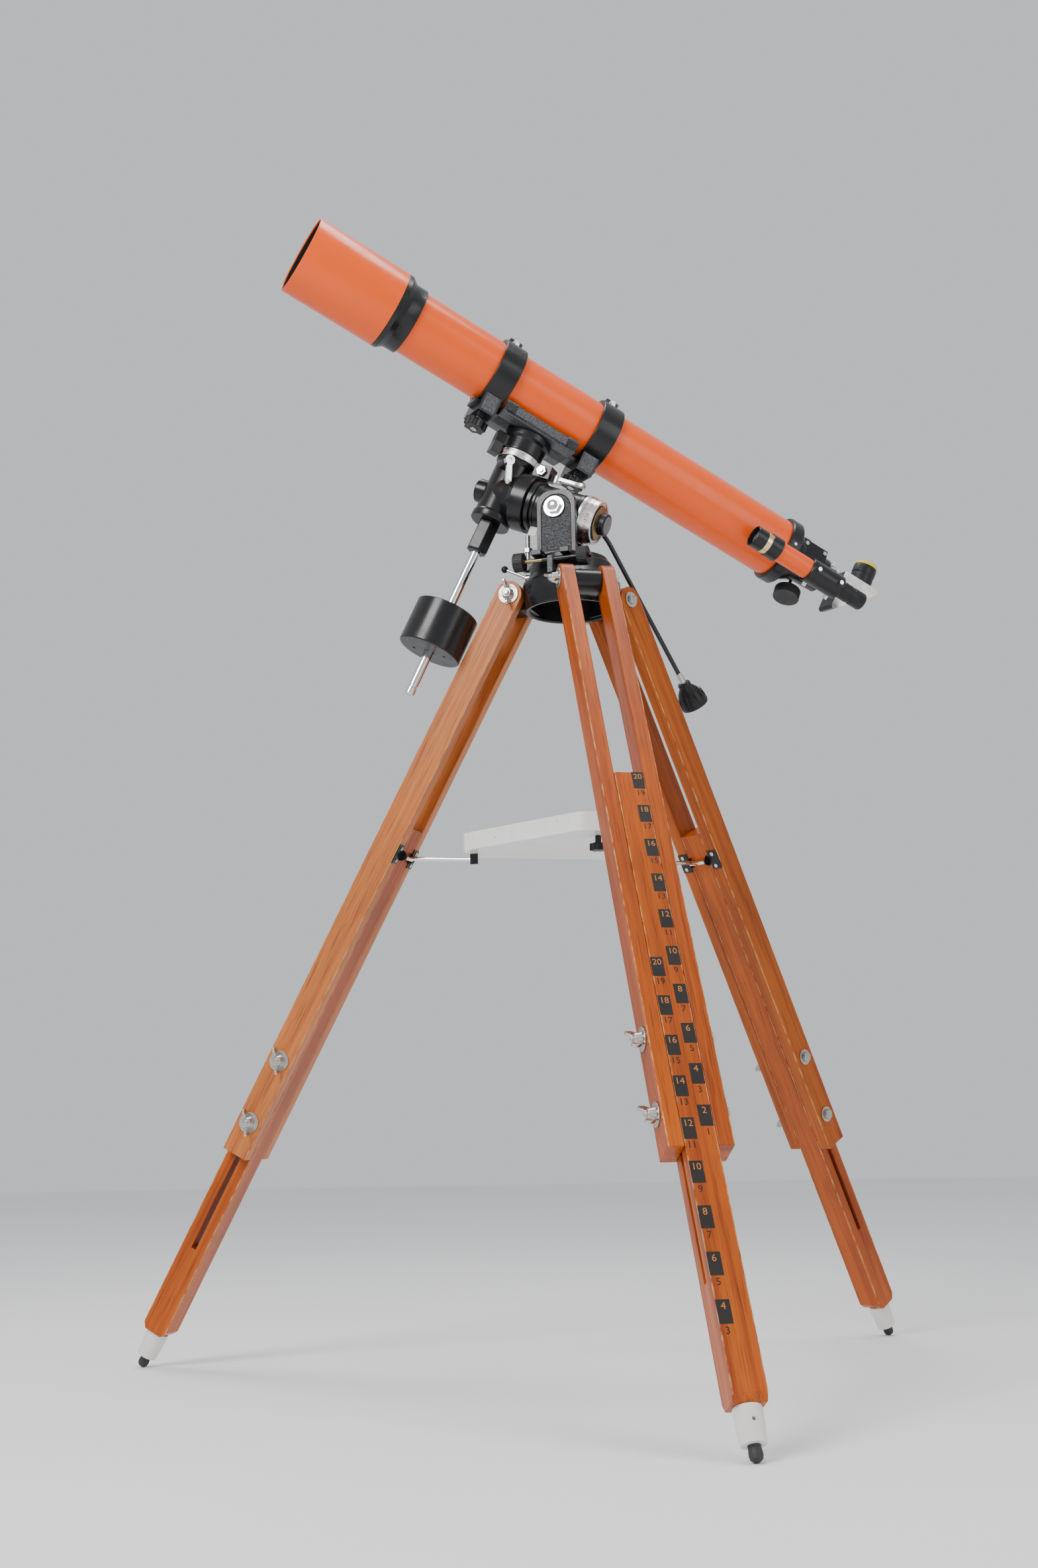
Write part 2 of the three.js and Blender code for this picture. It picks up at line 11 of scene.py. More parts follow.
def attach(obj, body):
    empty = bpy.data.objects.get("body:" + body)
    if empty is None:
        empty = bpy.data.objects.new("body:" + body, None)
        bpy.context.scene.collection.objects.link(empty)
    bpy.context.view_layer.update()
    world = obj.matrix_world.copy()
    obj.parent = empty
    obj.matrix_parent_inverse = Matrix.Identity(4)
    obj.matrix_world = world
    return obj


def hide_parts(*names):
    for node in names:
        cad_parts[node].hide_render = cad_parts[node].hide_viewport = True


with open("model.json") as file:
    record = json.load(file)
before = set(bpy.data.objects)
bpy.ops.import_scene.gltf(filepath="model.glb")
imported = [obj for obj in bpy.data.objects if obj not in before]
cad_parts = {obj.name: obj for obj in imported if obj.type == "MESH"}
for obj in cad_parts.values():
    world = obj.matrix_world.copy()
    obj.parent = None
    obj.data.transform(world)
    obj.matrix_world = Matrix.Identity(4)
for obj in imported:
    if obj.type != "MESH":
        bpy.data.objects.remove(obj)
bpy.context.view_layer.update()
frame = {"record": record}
JOINTS = {joint["name"]: joint for joint in frame["record"]["behaviour"]["joints"]}

MM = 0.001
DEG = math.pi / 180
ROUND, FINE, FINEST = 72, 96, 128  # sides of round pieces

# ---- places of the frames, in millimetres ---------------------------------------------------------
LEGS = {"front": -77.33, "left": 162.67, "right": 42.67}
NUT_SIDE = {"front": -1, "left": 1, "right": 1}
LEG_TILT = 28.367
HINGE_RADIUS = 79.46
HINGE_HEIGHT = 1038.06
ARM_PLACE = (0, 24.9, -388.2)
ARM_DROOP = 3.9
ARM_LENGTH = 97.2
CLAMPS = {"upper": 713.1, "lower": 806.4}
AZIMUTH = -19.05
LATITUDE = 22.01
POLAR_HEIGHT = 1153.2
PIVOT = (-7.9, 0, 1152.8)
HOUR_ANGLE = -11.52
TUBE_TURN = 220.2
POLAR_TO_DEC = 107.3
DEC_TO_TUBE = 153.1
PLATE_TILT = 15
PINION_X = -465
PINION_Y = -22
SCREW_PLACE = (0, -64, 1072.5)
HEAD_TOP = 1079
SLAT_CORNER = (37.05, 18.8)
BOARD_CORNER = (18.4, 18.5)
SLAT_INNER = 18.8
SLAT_LENGTH = 854
BOARD_SPAN = (-1126, -348)
SLOT_SPAN = (-998.5, -420)
SLOT_HALF = 3.7
GRAIN_STRETCH = 0.03
DUST_GREY = (0.1, 0.095, 0.09)


def place(parent, x=0, y=0, z=0, rx=0, ry=0, rz=0):
    """The matrix of a frame inside its parent frame, in millimetres and degrees."""
    turn = Euler((rx * DEG, ry * DEG, rz * DEG)).to_matrix().to_4x4()
    return parent @ Matrix.Translation((x, y, z)) @ turn


ORIGIN = Matrix.Translation(Vector(JOINTS["azimuth"]["pos_m"]) / MM)
FORK = place(ORIGIN, rz=AZIMUTH)
POLAR = place(FORK, z=POLAR_HEIGHT, ry=LATITUDE)
DEC = place(POLAR, x=-POLAR_TO_DEC, rx=HOUR_ANGLE)
DEC_SIDE = place(DEC, rz=TUBE_TURN)
TUBE = place(DEC_SIDE, z=DEC_TO_TUBE)

# bodies with the frame their pieces are drawn in
ON_HEAD = ("root", ORIGIN)
ON_BASE = ("azimuth_base", FORK)
ON_POLAR = ("polar_axis", POLAR)
ON_DEC = ("declination_axis", DEC)
ON_SADDLE = ("saddle", TUBE)
ON_TUBE = ("optical_tube", TUBE)


def new_object(name, data):
    obj = bpy.data.objects.new(name, data)
    bpy.context.scene.collection.objects.link(obj)
    return obj


def leg_frame(name):
    angle = LEGS[name]
    x = HINGE_RADIUS * math.cos(angle * DEG)
    y = HINGE_RADIUS * math.sin(angle * DEG)
    return place(place(ORIGIN, x, y, HINGE_HEIGHT, rz=angle + 90), rx=-LEG_TILT)


# ---- camera ---------------------------------------------------------------------------------------
def make_camera():
    pitch = 10.36 * DEG
    roll = -0.907 * DEG
    tilt = Matrix(((1, 0, 0), (0, math.cos(pitch), math.sin(pitch)), (0, -math.sin(pitch), math.cos(pitch))))
    bank = Matrix(((math.cos(roll), 0, math.sin(roll)), (0, 1, 0), (-math.sin(roll), 0, math.cos(roll))))
    rows = bank @ tilt
    axes = Matrix((rows[0], rows[2], -rows[1])).transposed().to_4x4()
    spot = ORIGIN @ Vector((-76.41, -2485.56, 319.94)) * MM
    data = bpy.data.cameras.new("camera")
    data.sensor_fit = "VERTICAL"
    data.sensor_height = 36
    data.lens = 42.795
    camera = new_object("camera", data)
    camera.matrix_world = Matrix.Translation(spot) @ axes
    bpy.context.scene.camera = camera


make_camera()


# ---- materials ------------------------------------------------------------------------------------
class Nodes:
    """A small helper that wires a material's nodes."""

    def __init__(self, name):
        self.material = bpy.data.materials.new(name)
        self.material.use_nodes = True
        self.tree = self.material.node_tree
        self.shader = self.tree.nodes["Principled BSDF"]
        self.coords = self.tree.nodes.new("ShaderNodeTexCoord").outputs["Object"]

    def add(self, kind, **values):
        node = self.tree.nodes.new(kind)
        for key, value in values.items():
            if key in node.inputs:
                node.inputs[key].default_value = value
            else:
                setattr(node, key, value)
        return node

    def link(self, source, target):
        self.tree.links.new(source, target)

    def feed(self, name, source):
        self.link(source, self.shader.inputs[name])

    def noise(self, scale, detail=4):
        node = self.add("ShaderNodeTexNoise", Scale=scale, Detail=detail)
        self.link(self.coords, node.inputs["Vector"])
        return node.outputs["Fac"]

    def ramp(self, source, stops):
        node = self.add("ShaderNodeValToRGB")
        ramp = node.color_ramp
        while len(ramp.elements) < len(stops):
            ramp.elements.new(0.5)
        for element, (position, value) in zip(ramp.elements, stops):
            element.position = position
            element.color = (value, value, value, 1) if isinstance(value, (int, float)) else (*value, 1)
        self.link(source, node.inputs["Fac"])
        return node.outputs["Color"]

    def mix(self, factor, a, b, blend="MIX"):
        node = self.tree.nodes.new("ShaderNodeMix")
        node.data_type = "RGBA"
        node.blend_type = blend
        for socket, value in ((node.inputs[0], factor), (node.inputs[6], a), (node.inputs[7], b)):
            if isinstance(value, (int, float)):
                socket.default_value = value
            elif isinstance(value, tuple):
                socket.default_value = (*value, 1)
            else:
                self.link(value, socket)
        return node.outputs[2]

    def bump(self, *heights):
        """Stack bumps given as (height socket, strength, distance in metres)."""
        normal = None
        for height, strength, distance in heights:
            node = self.add("ShaderNodeBump", Strength=strength, Distance=distance)
            self.link(height, node.inputs["Height"])
            if normal is not None:
                self.link(normal, node.inputs["Normal"])
            normal = node.outputs["Normal"]
        self.feed("Normal", normal)

    def near(self, axis, distance, band=1.8):
        """White where a local coordinate comes within a band of a face, given in millimetres."""
        split = self.add("ShaderNodeSeparateXYZ")
        self.link(self.coords, split.inputs["Vector"])
        size = self.add("ShaderNodeMath", operation="ABSOLUTE")
        self.link(split.outputs[axis], size.inputs[0])
        reach = self.add("ShaderNodeMapRange")
        self.link(size.outputs["Value"], reach.inputs["Value"])
        reach.inputs["From Min"].default_value = (distance - band) * MM
        reach.inputs["From Max"].default_value = (distance - 0.3 * band) * MM
        return reach.outputs["Result"]

    def set(self, **values):
        for key, value in values.items():
            self.shader.inputs[key.replace("_", " ")].default_value = value


def painted(name, color, roughness, coat=0.0, peel=0.15, dust=0.15, metallic=0.0):
    """Sprayed paint: fine orange peel, faint soiling and uneven gloss."""
    nodes = Nodes(name)
    dirt = nodes.ramp(nodes.noise(14, 5), [(0.35, 0.0), (0.75, 1.0)])
    darker = tuple(part * 0.72 for part in color)
    tone = nodes.mix(nodes.mix(1.0, dirt, (dust, dust, dust), "MULTIPLY"), color, darker)
    nodes.feed("Base Color", tone)
    gloss = nodes.ramp(nodes.noise(35, 5), [(0.3, roughness * 0.8), (0.75, min(1.0, roughness * 1.35))])
    nodes.feed("Roughness", gloss)
    nodes.bump((nodes.noise(900, 2), peel, 0.0002))
    nodes.set(Metallic=metallic, Coat_Weight=coat, Coat_Roughness=0.08, Specular_IOR_Level=0.35)
    return nodes.material


def metal(name, color, roughness, tarnish=0.2):
    """Bright metal with uneven polish and a little tarnish."""
    nodes = Nodes(name)
    stain = nodes.ramp(nodes.noise(60, 6), [(0.45, 0.0), (0.8, tarnish)])
    dull = tuple(part * 0.45 for part in color)
    nodes.feed("Base Color", nodes.mix(stain, color, dull))
    gloss = nodes.ramp(nodes.noise(120, 4), [(0.3, roughness * 0.7), (0.8, min(1, roughness * 1.7))])
    nodes.feed("Roughness", gloss)
    nodes.bump((nodes.noise(400, 3), 0.05, 0.0001))
    nodes.set(Metallic=1.0)
    return nodes.material


def wood(name, light, dark, seed, corner):
    """Varnished wood whose grain runs along local Z, with pores, streaks and bare worn edges."""
    nodes = Nodes(name)
    shift = nodes.add("ShaderNodeMapping")
    shift.inputs["Location"].default_value = (seed, seed * 0.7, seed * 0.3)
    shift.inputs["Scale"].default_value = (1, 1, GRAIN_STRETCH)
    nodes.link(nodes.coords, shift.inputs["Vector"])
    bands = nodes.add("ShaderNodeTexNoise", Scale=75, Detail=7, Distortion=0.6)
    nodes.link(shift.outputs["Vector"], bands.inputs["Vector"])
    pores = nodes.add("ShaderNodeTexNoise", Scale=600, Detail=3)
    nodes.link(shift.outputs["Vector"], pores.inputs["Vector"])
    tone = nodes.mix(nodes.ramp(bands.outputs["Fac"], [(0.3, 0.0), (0.7, 1.0)]), dark, light)
    flecks = nodes.ramp(pores.outputs["Fac"], [(0.32, 0.45), (0.46, 1.0)])
    tone = nodes.mix(0.8, tone, flecks, "MULTIPLY")
    cloud = nodes.ramp(nodes.noise(5, 3), [(0.3, 0.82), (0.7, 1.08)])
    tone = nodes.mix(1.0, tone, cloud, "MULTIPLY")
    edge = nodes.mix(1.0, nodes.near(0, corner[0]), nodes.near(1, corner[1]), "MULTIPLY")
    worn = nodes.mix(1.0, edge, nodes.ramp(nodes.noise(60, 5), [(0.4, 0.0), (0.62, 1.0)]), "MULTIPLY")
    tone = nodes.mix(worn, tone, (0.62, 0.3, 0.11))
    nodes.feed("Base Color", tone)
    gloss = nodes.ramp(bands.outputs["Fac"], [(0.3, 0.42), (0.7, 0.3)])
    nodes.feed("Roughness", gloss)
    nodes.bump((pores.outputs["Fac"], 0.25, 0.0003), (bands.outputs["Fac"], 0.15, 0.0006))
    nodes.set(Coat_Weight=0.06, Coat_Roughness=0.2, Specular_IOR_Level=0.28)
    return nodes.material


def hammered(name, color, size, depth):
    """Crinkled grey casting paint."""
    nodes = Nodes(name)
    cells = nodes.add("ShaderNodeTexVoronoi", Scale=size)
    nodes.link(nodes.coords, cells.inputs["Vector"])
    fine = nodes.noise(size * 0.8, 6)
    peak = tuple(min(1, part * 2.4) for part in color)
    nodes.feed("Base Color", nodes.mix(nodes.ramp(fine, [(0.4, 0.0), (0.68, 1.0)]), color, peak))
    nodes.bump((cells.outputs["Distance"], 0.5, depth), (fine, 0.9, depth))
    nodes.set(Roughness=0.38, Metallic=0.25)
    return nodes.material


def enamel(name, color):
    """White enamel with faint stains and rust specks."""
    nodes = Nodes(name)
    stain = nodes.ramp(nodes.noise(25, 6), [(0.45, 0.0), (0.8, 0.25)])
    tone = nodes.mix(stain, color, (0.55, 0.5, 0.42))
    specks = nodes.ramp(nodes.noise(260, 5), [(0.69, 0.0), (0.72, 1.0)])
    tone = nodes.mix(specks, tone, (0.12, 0.07, 0.04))
    nodes.feed("Base Color", tone)
    nodes.bump((nodes.noise(300, 4), 0.1, 0.0002))
    nodes.set(Roughness=0.32, Coat_Weight=0.3, Coat_Roughness=0.12)
    return nodes.material


def rubber(name, color, roughness=0.62):
    nodes = Nodes(name)
    dust = nodes.ramp(nodes.noise(50, 6), [(0.4, 0.0), (0.8, 0.35)])
    nodes.feed("Base Color", nodes.mix(dust, color, DUST_GREY))
    nodes.bump((nodes.noise(1200, 2), 0.2, 0.0002))
    nodes.set(Roughness=roughness)
    return nodes.material


def glass(name, color):
    nodes = Nodes(name)
    smudge = nodes.ramp(nodes.noise(30, 5), [(0.4, 0.02), (0.8, 0.09)])
    nodes.feed("Roughness", smudge)
    nodes.set(Base_Color=(*color, 1), Transmission_Weight=0.9, IOR=1.52)
    return nodes.material


BLACK = painted("black_paint", (0.007, 0.007, 0.008), 0.27, coat=0.08, peel=0.3)
SATIN = painted("satin_black", (0.009, 0.009, 0.01), 0.4, peel=0.35)
INSIDE = painted("flat_black_inside", (0.006, 0.006, 0.007), 0.8, peel=0.4)
ORANGE = painted("orange_enamel", (0.86, 0.095, 0.0), 0.27, coat=0.1, peel=0.05, dust=0.1)
WHITE = painted("white_collar_paint", (0.78, 0.76, 0.71), 0.42, dust=0.5)
YELLOW = painted("yellow_strap", (0.75, 0.5, 0.03), 0.5, dust=0.2)
RED_INK = painted("red_ink", (0.6, 0.04, 0.03), 0.5)
BLACK_INK = painted("black_ink", (0.015, 0.012, 0.01), 0.45)
BROWN_INK = painted("bare_numeral", (0.5, 0.16, 0.03), 0.45)
GREY_FACE = painted("machined_grey", (0.2, 0.2, 0.205), 0.5, metallic=0.5)
CHROME = metal("chrome_plate", (0.8, 0.8, 0.81), 0.09, tarnish=0.15)
STEEL = metal("tarnished_steel", (0.6, 0.585, 0.55), 0.25, tarnish=0.7)
GOLD = metal("gold_band", (0.78, 0.6, 0.3), 0.2)
BRASS = metal("dark_brass", (0.3, 0.22, 0.11), 0.3, tarnish=0.6)
DIAL = metal("dial_aluminium", (0.8, 0.79, 0.76), 0.26, tarnish=0.1)
HAMMER = hammered("hammered_grey", (0.014, 0.015, 0.017), 420, 0.0012)
HAMMER_FINE = hammered("hammered_edge", (0.055, 0.055, 0.06), 600, 0.0008)
ENAMEL = enamel("chipped_enamel", (0.82, 0.81, 0.78))
RUBBER = rubber("soft_rubber", (0.018, 0.018, 0.019))
CABLE = painted("cable_sleeve", (0.014, 0.014, 0.015), 0.28, coat=0.3)
GLASS = glass("lens_glass", (0.85, 0.95, 0.97))
WOOD_TONES = {
    "front": ((0.48, 0.095, 0.002), (0.27, 0.038, 0.001)),
    "left": ((0.6, 0.2, 0.05), (0.42, 0.1, 0.018)),
    "right": ((0.48, 0.105, 0.001), (0.25, 0.04, 0.001)),
}
WOODS = {name: wood(f"varnished_wood_{name}", *tones, seed, SLAT_CORNER)
         for seed, (name, tones) in enumerate(WOOD_TONES.items(), 1)}
BOARD_WOOD = {name: wood(f"varnished_board_{name}", *WOOD_TONES["front"], seed, BOARD_CORNER)
              for seed, name in enumerate(WOOD_TONES, 5)}


# ---- shapes: each returns (points, faces) in millimetres of its own frame --------------------------
AXES = {
    "x": Matrix(((0, 0, 1), (1, 0, 0), (0, 1, 0))),
    "y": Matrix(((1, 0, 0), (0, 0, -1), (0, 1, 0))),
    "z": Matrix.Identity(3),
}


def spin(profile, axis="z", at=(0, 0, 0), steps=ROUND):
    """A solid of revolution from (radius, place) pairs; the profile of a ring ends where it starts."""
    closed = profile[0] == profile[-1] and profile[0][0] > 0
    rows = profile[:-1] if closed else profile
    along = -1 if axis == "y" else 1
    points, faces, index = [], [], []
    for radius, height in rows:
        if radius == 0:
            index.append([len(points)] * steps)
            points.append((0, 0, along * height))
            continue
        index.append(list(range(len(points), len(points) + steps)))
        for step in range(steps):
            angle = 2 * math.pi * step / steps
            points.append((radius * math.cos(angle), radius * math.sin(angle), along * height))
    pairs = list(zip(index, index[1:])) + ([(index[-1], index[0])] if closed else [])
    for low, high in pairs:
        for step in range(steps):
            after = (step + 1) % steps
            corner = [low[step], low[after], high[after], high[step]]
            face = [v for i, v in enumerate(corner) if v not in corner[:i]]
            if len(face) > 2:
                faces.append(face)
    return moved((points, faces), AXES[axis], at)


def moved(shape, turn=Matrix.Identity(3), at=(0, 0, 0)):
    points, faces = shape
    offset = Vector(at)
    return [turn @ Vector(point) + offset for point in points], faces


def turned(shape, axis, degrees):
    return moved(shape, Matrix.Rotation(degrees * DEG, 3, axis.upper()))


def rod(radius, low, high, axis="z", at=(0, 0, 0), steps=36):
    return spin([(0, low), (radius, low), (radius, high), (0, high)], axis, at, steps)


def ring(outer, inner, low, high, axis="z", at=(0, 0, 0), steps=ROUND):
    return spin([(inner, low), (outer, low), (outer, high), (inner, high), (inner, low)], axis, at, steps)


def prism(outline, low, high, axis="z"):
    """A flat outline pushed along an axis: (y, z) for x, (x, z) for y, (x, y) for z."""
    count = len(outline)
    low, high = (low, high) if axis != "y" else (-high, -low)
    points = [(u, v, low) for u, v in outline] + [(u, v, high) for u, v in outline]
    faces = [list(range(count))[::-1], list(range(count, 2 * count))]
    faces += [[i, (i + 1) % count, (i + 1) % count + count, i + count] for i in range(count)]
    return moved((points, faces), AXES[axis])


def block(x0, x1, y0, y1, z0, z1):
    return prism([(x0, y0), (x1, y0), (x1, y1), (x0, y1)], z0, z1)


def ball(radius, at, steps=24):
    half = steps // 2
    angles = [math.pi * i / half for i in range(half + 1)]
    profile = [(radius * math.sin(angle), -radius * math.cos(angle)) for angle in angles]
    profile[0], profile[-1] = (0, -radius), (0, radius)
    return spin(profile, "z", at, steps)


def arc(x, y, radius, start, end, steps=10):
    """Points of an arc, in degrees."""
    span = [start + (end - start) * i / steps for i in range(steps + 1)]
    return [(x + radius * math.cos(a * DEG), y + radius * math.sin(a * DEG)) for a in span]


def rounded(outline, radius, steps=5):
    """An outline with each corner rounded."""
    points = []
    for before, corner, after in zip(outline[-1:] + outline[:-1], outline, outline[1:] + outline[:1]):
        here = Vector(corner)
        start = (Vector(before) - here).normalized() * radius + here
        end = (Vector(after) - here).normalized() * radius + here
        for i in range(steps + 1):
            t = i / steps
            points.append(tuple((1 - t) ** 2 * start + 2 * t * (1 - t) * here + t * t * end))
    return points


def lobed(radius, depth, lobes, steps=10):
    """The outline of a grip with rounded lobes."""
    count = lobes * steps
    outline = []
    for i in range(count):
        angle = 2 * math.pi * i / count
        reach = radius + depth * math.cos(lobes * angle)
        outline.append((reach * math.cos(angle), reach * math.sin(angle)))
    return outline


# ---- pieces ---------------------------------------------------------------------------------------
def carve(piece, *shapes):
    """Cut shapes out of a piece, once and for all."""
    for number, shape in enumerate(shapes):
        tool = raw_object(f"{piece.name}_tool_{number}", [shape], Matrix.Identity(4))
        tool.matrix_world = piece.matrix_world.copy()
        cutter = piece.modifiers.new("cut", "BOOLEAN")
        cutter.operation = "DIFFERENCE"
        cutter.solver = "EXACT"
        cutter.object = tool
        bpy.context.view_layer.update()
        graph = bpy.context.evaluated_depsgraph_get()
        mesh = bpy.data.meshes.new_from_object(piece.evaluated_get(graph), depsgraph=graph)
        piece.modifiers.remove(cutter)
        piece.data = mesh
        bpy.data.objects.remove(tool)


def raw_object(name, shapes, matrix):
    points, faces = [], []
    for shape_points, shape_faces in shapes:
        base = len(points)
        points += [Vector(point) * MM for point in shape_points]
        faces += [[index + base for index in face] for face in shape_faces]
    mesh = bpy.data.meshes.new(name)
    mesh.from_pydata(points, [], faces)
    soft = bmesh.new()
    soft.from_mesh(mesh)
    bmesh.ops.recalc_face_normals(soft, faces=soft.faces)
    soft.to_mesh(mesh)
    soft.free()
    obj = new_object(name, mesh)
    spot = matrix.translation * MM
    obj.matrix_world = Matrix.Translation(spot) @ matrix.to_3x3().to_4x4()
    bpy.context.view_layer.update()
    return obj


def made(name, body, matrix, material, *shapes, bevel=0.5, holes=(), stands_for=(), slot=None):
    """One finished piece: its shapes joined, holes cut, edges rounded, on its body."""
    obj = raw_object(name, shapes, matrix)
    if holes:
        carve(obj, *holes)
    obj.data.materials.clear()
    obj.data.materials.append(material)
    obj.data.shade_smooth()
    obj.data.set_sharp_from_angle(angle=32 * DEG)
    if bevel:
        edge = obj.modifiers.new("edges", "BEVEL")
        edge.width = bevel * MM
        edge.segments = 2
        edge.limit_method = "ANGLE"
        edge.angle_limit = 32 * DEG
        edge.harden_normals = True
    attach(obj, body)
    if stands_for:
        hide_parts(*stands_for)
    return obj


def numerals(name, body, matrix, material, entries, slot):
    """Numbers as thin solid figures; entries are (text, size, local 4x4 matrix in millimetres)."""
    shapes = []
    for text, size, local in entries:
        curve = bpy.data.curves.new("figure", "FONT")
        curve.body = text
        curve.size = size
        curve.align_x = "CENTER"
        curve.align_y = "CENTER"
        curve.extrude = 0.06
        curve.resolution_u = 3
        figure = new_object("figure", curve)
        mesh = figure.to_mesh()
        points = [local @ vertex.co for vertex in mesh.vertices]
        faces = [list(polygon.vertices) for polygon in mesh.polygons]
        shapes.append((points, faces))
        figure.to_mesh_clear()
        bpy.data.objects.remove(figure)
        bpy.data.curves.remove(curve)
    return made(name, body, matrix, material, *shapes, bevel=0, slot=slot)


# ---- slow motion cable ----------------------------------------------------------------------------
CABLE_ROUTE = [
    (33.1, 34.5, 1142.4), (39.5, 32.4, 1139.4), (46, 31.2, 1135), (51.6, 31.8, 1128.6), (56.6, 34.4, 1121),
    (62, 39, 1111.8), (69.6, 46.6, 1099.1), (77.5, 54.5, 1086), (85.5, 62.8, 1072.9), (93.6, 71.2, 1059.8),
    (101.7, 79.6, 1046.7), (109.8, 88, 1033.6), (117.9, 96.4, 1020.5), (126, 104.8, 1007.4),
    (133.8, 112.9, 994.7), (141.6, 121, 982), (156, 136, 958.6),
]
CABLE_RADIUS = 3.3


def smooth_route(points, per_span=6):
    route = []
    padded = [points[0] * 2 - points[1]] + points + [points[-1] * 2 - points[-2]]
    for a, b, c, d in zip(padded, padded[1:], padded[2:], padded[3:]):
        for i in range(per_span):
            t = i / per_span
            route.append(0.5 * (2 * b + (c - a) * t + (2 * a - 5 * b + 4 * c - d) * t * t
                                + (3 * b - a - 3 * c + d) * t ** 3))
    return route + [points[-1]]


def make_cable():
    points = [(ORIGIN @ Vector(point)) * MM for point in CABLE_ROUTE]
    route = smooth_route(points)
    curve = bpy.data.curves.new("slow_motion_cable_sleeve", "CURVE")
    curve.dimensions = "3D"
    curve.bevel_depth = CABLE_RADIUS * MM
    curve.bevel_resolution = 6
    curve.use_fill_caps = True
    spline = curve.splines.new("POLY")
    spline.points.add(len(route) - 1)
    for target, point in zip(spline.points, route):
        target.co = (*point, 1)
    curve.materials.append(CABLE)
    cable = new_object("slow_motion_cable_sleeve", curve)
    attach(cable, "polar_axis")
    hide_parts("slow_motion_cable")
    end = Vector(CABLE_ROUTE[-1])
    along = (end - Vector(CABLE_ROUTE[-2])).normalized()
    seat = ORIGIN @ Matrix.Translation(end) @ along.to_track_quat("Z", "Y").to_matrix().to_4x4()
    ferrule = made("cable_ferrule", "slow_motion_knob", seat, STEEL,
                   spin([(0, 0.3), (4.4, 0.3), (4.4, 6), (5, 6.6), (5, 17.5), (0, 17.5)]))
    bell = spin([(0, 17), (8.5, 17), (9.5, 19), (9.5, 24), (12, 27), (15.5, 32), (18.5, 39), (20.4, 47),
                 (20.9, 53), (20, 56.6), (18.5, 57), (0, 57)])
    ribs = [turned(prism([(19.2, 34), (20.7, 44), (20.9, 54), (19.2, 56)], -1.1, 1.1, "y"), "z", 30 * i)
            for i in range(12)]
    knob = made("slow_motion_grip", "slow_motion_knob", seat, SATIN, bell, *ribs, bevel=0.4,
                stands_for=["slow_motion_knob"])


make_cable()


# ---- tripod ---------------------------------------------------------------------------------------
def wing_bolt(name, body, matrix, side, node, shank):
    """Hex head and washer on one face, washer and wing nut on the other."""
    flip = matrix if side > 0 else place(matrix, rz=180)
    face = SLAT_CORNER[0] + 0.3
    wing = rounded([(3, face), (4, face + 9), (13.5, face + 17), (18.8, face + 16.5), (18.8, face + 9),
                    (10, face)], 2.2)
    sheet = prism([(along, out) for out, along in wing], -1.8, 1.8, "y")
    wings = [turned(sheet, "x", turn) for turn in (35, 215)]
    made(f"{name}_nut", body, flip, STEEL,
         spin([(0, face + 1.6), (8.5, face + 1.6), (6.2, face + 10.5), (0, face + 10.5)], "x"),
         rod(shank, face, face + 14, "x"), *wings,
         rod(7.4, -face - 6.5, -face - 1.6, "x", steps=6), bevel=0.7, stands_for=[node])
    made(f"{name}_washers", body, flip, STEEL, ring(14, shank + 0.4, face - 0.1, face + 1.5, "x"),
         ring(11, shank + 0.4, -face - 1.5, -face + 0.1, "x"), bevel=0.3)


def make_head():
    shell = spin([(0, 1052), (56, 1052), (58, 1046), (58, 1016), (60, 1014.3), (63, 1014.3), (64.3, 1017),
                  (66.5, 1034), (68, 1048), (67.4, 1052), (60, 1060.5), (57.2, 1064), (57.2, 1077.5),
                  (56, HEAD_TOP), (0, HEAD_TOP)], steps=120)
    holes = []
    lugs = []
    for angle in LEGS.values():
        for side in (-1, 1):
            pocket = block(59, 105, min(side * 18.3, side * 38.7), max(side * 18.3, side * 38.7), 1005, 1060)
            holes.append(turned(pocket, "z", angle))
        rib = prism([(52, 1018), (79, 1018), *arc(82, 1034, 16, -90, 90, 12), (52, 1050)], -18.3, 18.3, "y")
        lugs.append(turned(rib, "z", angle))
    made("head_casting", *ON_HEAD, BLACK, shell, bevel=0.8, holes=holes, stands_for=["tripod_head"])
    made("head_lugs", *ON_HEAD, BLACK, *lugs, bevel=1.2)
    made("azimuth_tab", "root", FORK, HAMMER_FINE, block(-12, -4, -70, -52, 1053, 1077), bevel=1.2)


SCALE_PITCH = 50.8
CELL = (14.7, 25.4)
SCALE_COLUMNS = ((2.85, 348.2, 10), (-18.0, 617.2, 9))  # left edge, top of the first cell, number of cells
LAST_CELL_END = 1108
NUMBER_SIZE = 11
NUMBER_DROP = 7


def board_scale(name, body, matrix):
    """Two inch scales on the outward face of a sliding board: black cells with numbers."""
    cells = []
    even_numbers = []
    odd_numbers = []
    face = -BOARD_CORNER[1] - 0.12
    upright = Matrix.Rotation(90 * DEG, 4, "X")
    for left, start, count in SCALE_COLUMNS:
        for step in range(count):
            top = start + SCALE_PITCH * step
            bottom = top + CELL[1]
            if bottom >= LAST_CELL_END:
                continue
            cells.append(block(left, left + CELL[0], face, face + 0.2, -bottom, -top))
            middle = left + CELL[0] / 2
            even = 20 - 2 * step
            for entries, edge, number in ((even_numbers, top, even), (odd_numbers, bottom, even - 1)):
                spot = Matrix.Translation((middle, face - 0.02, -edge - NUMBER_DROP))
                entries.append((str(number), NUMBER_SIZE, spot @ upright))
    made(f"{name}_scale_cells", body, matrix, BLACK_INK, *cells, bevel=0, slot="wood")
    numerals(f"{name}_scale_even", body, matrix, BROWN_INK, even_numbers, "wood")
    numerals(f"{name}_scale_odd", body, matrix, BLACK_INK, odd_numbers, "wood")


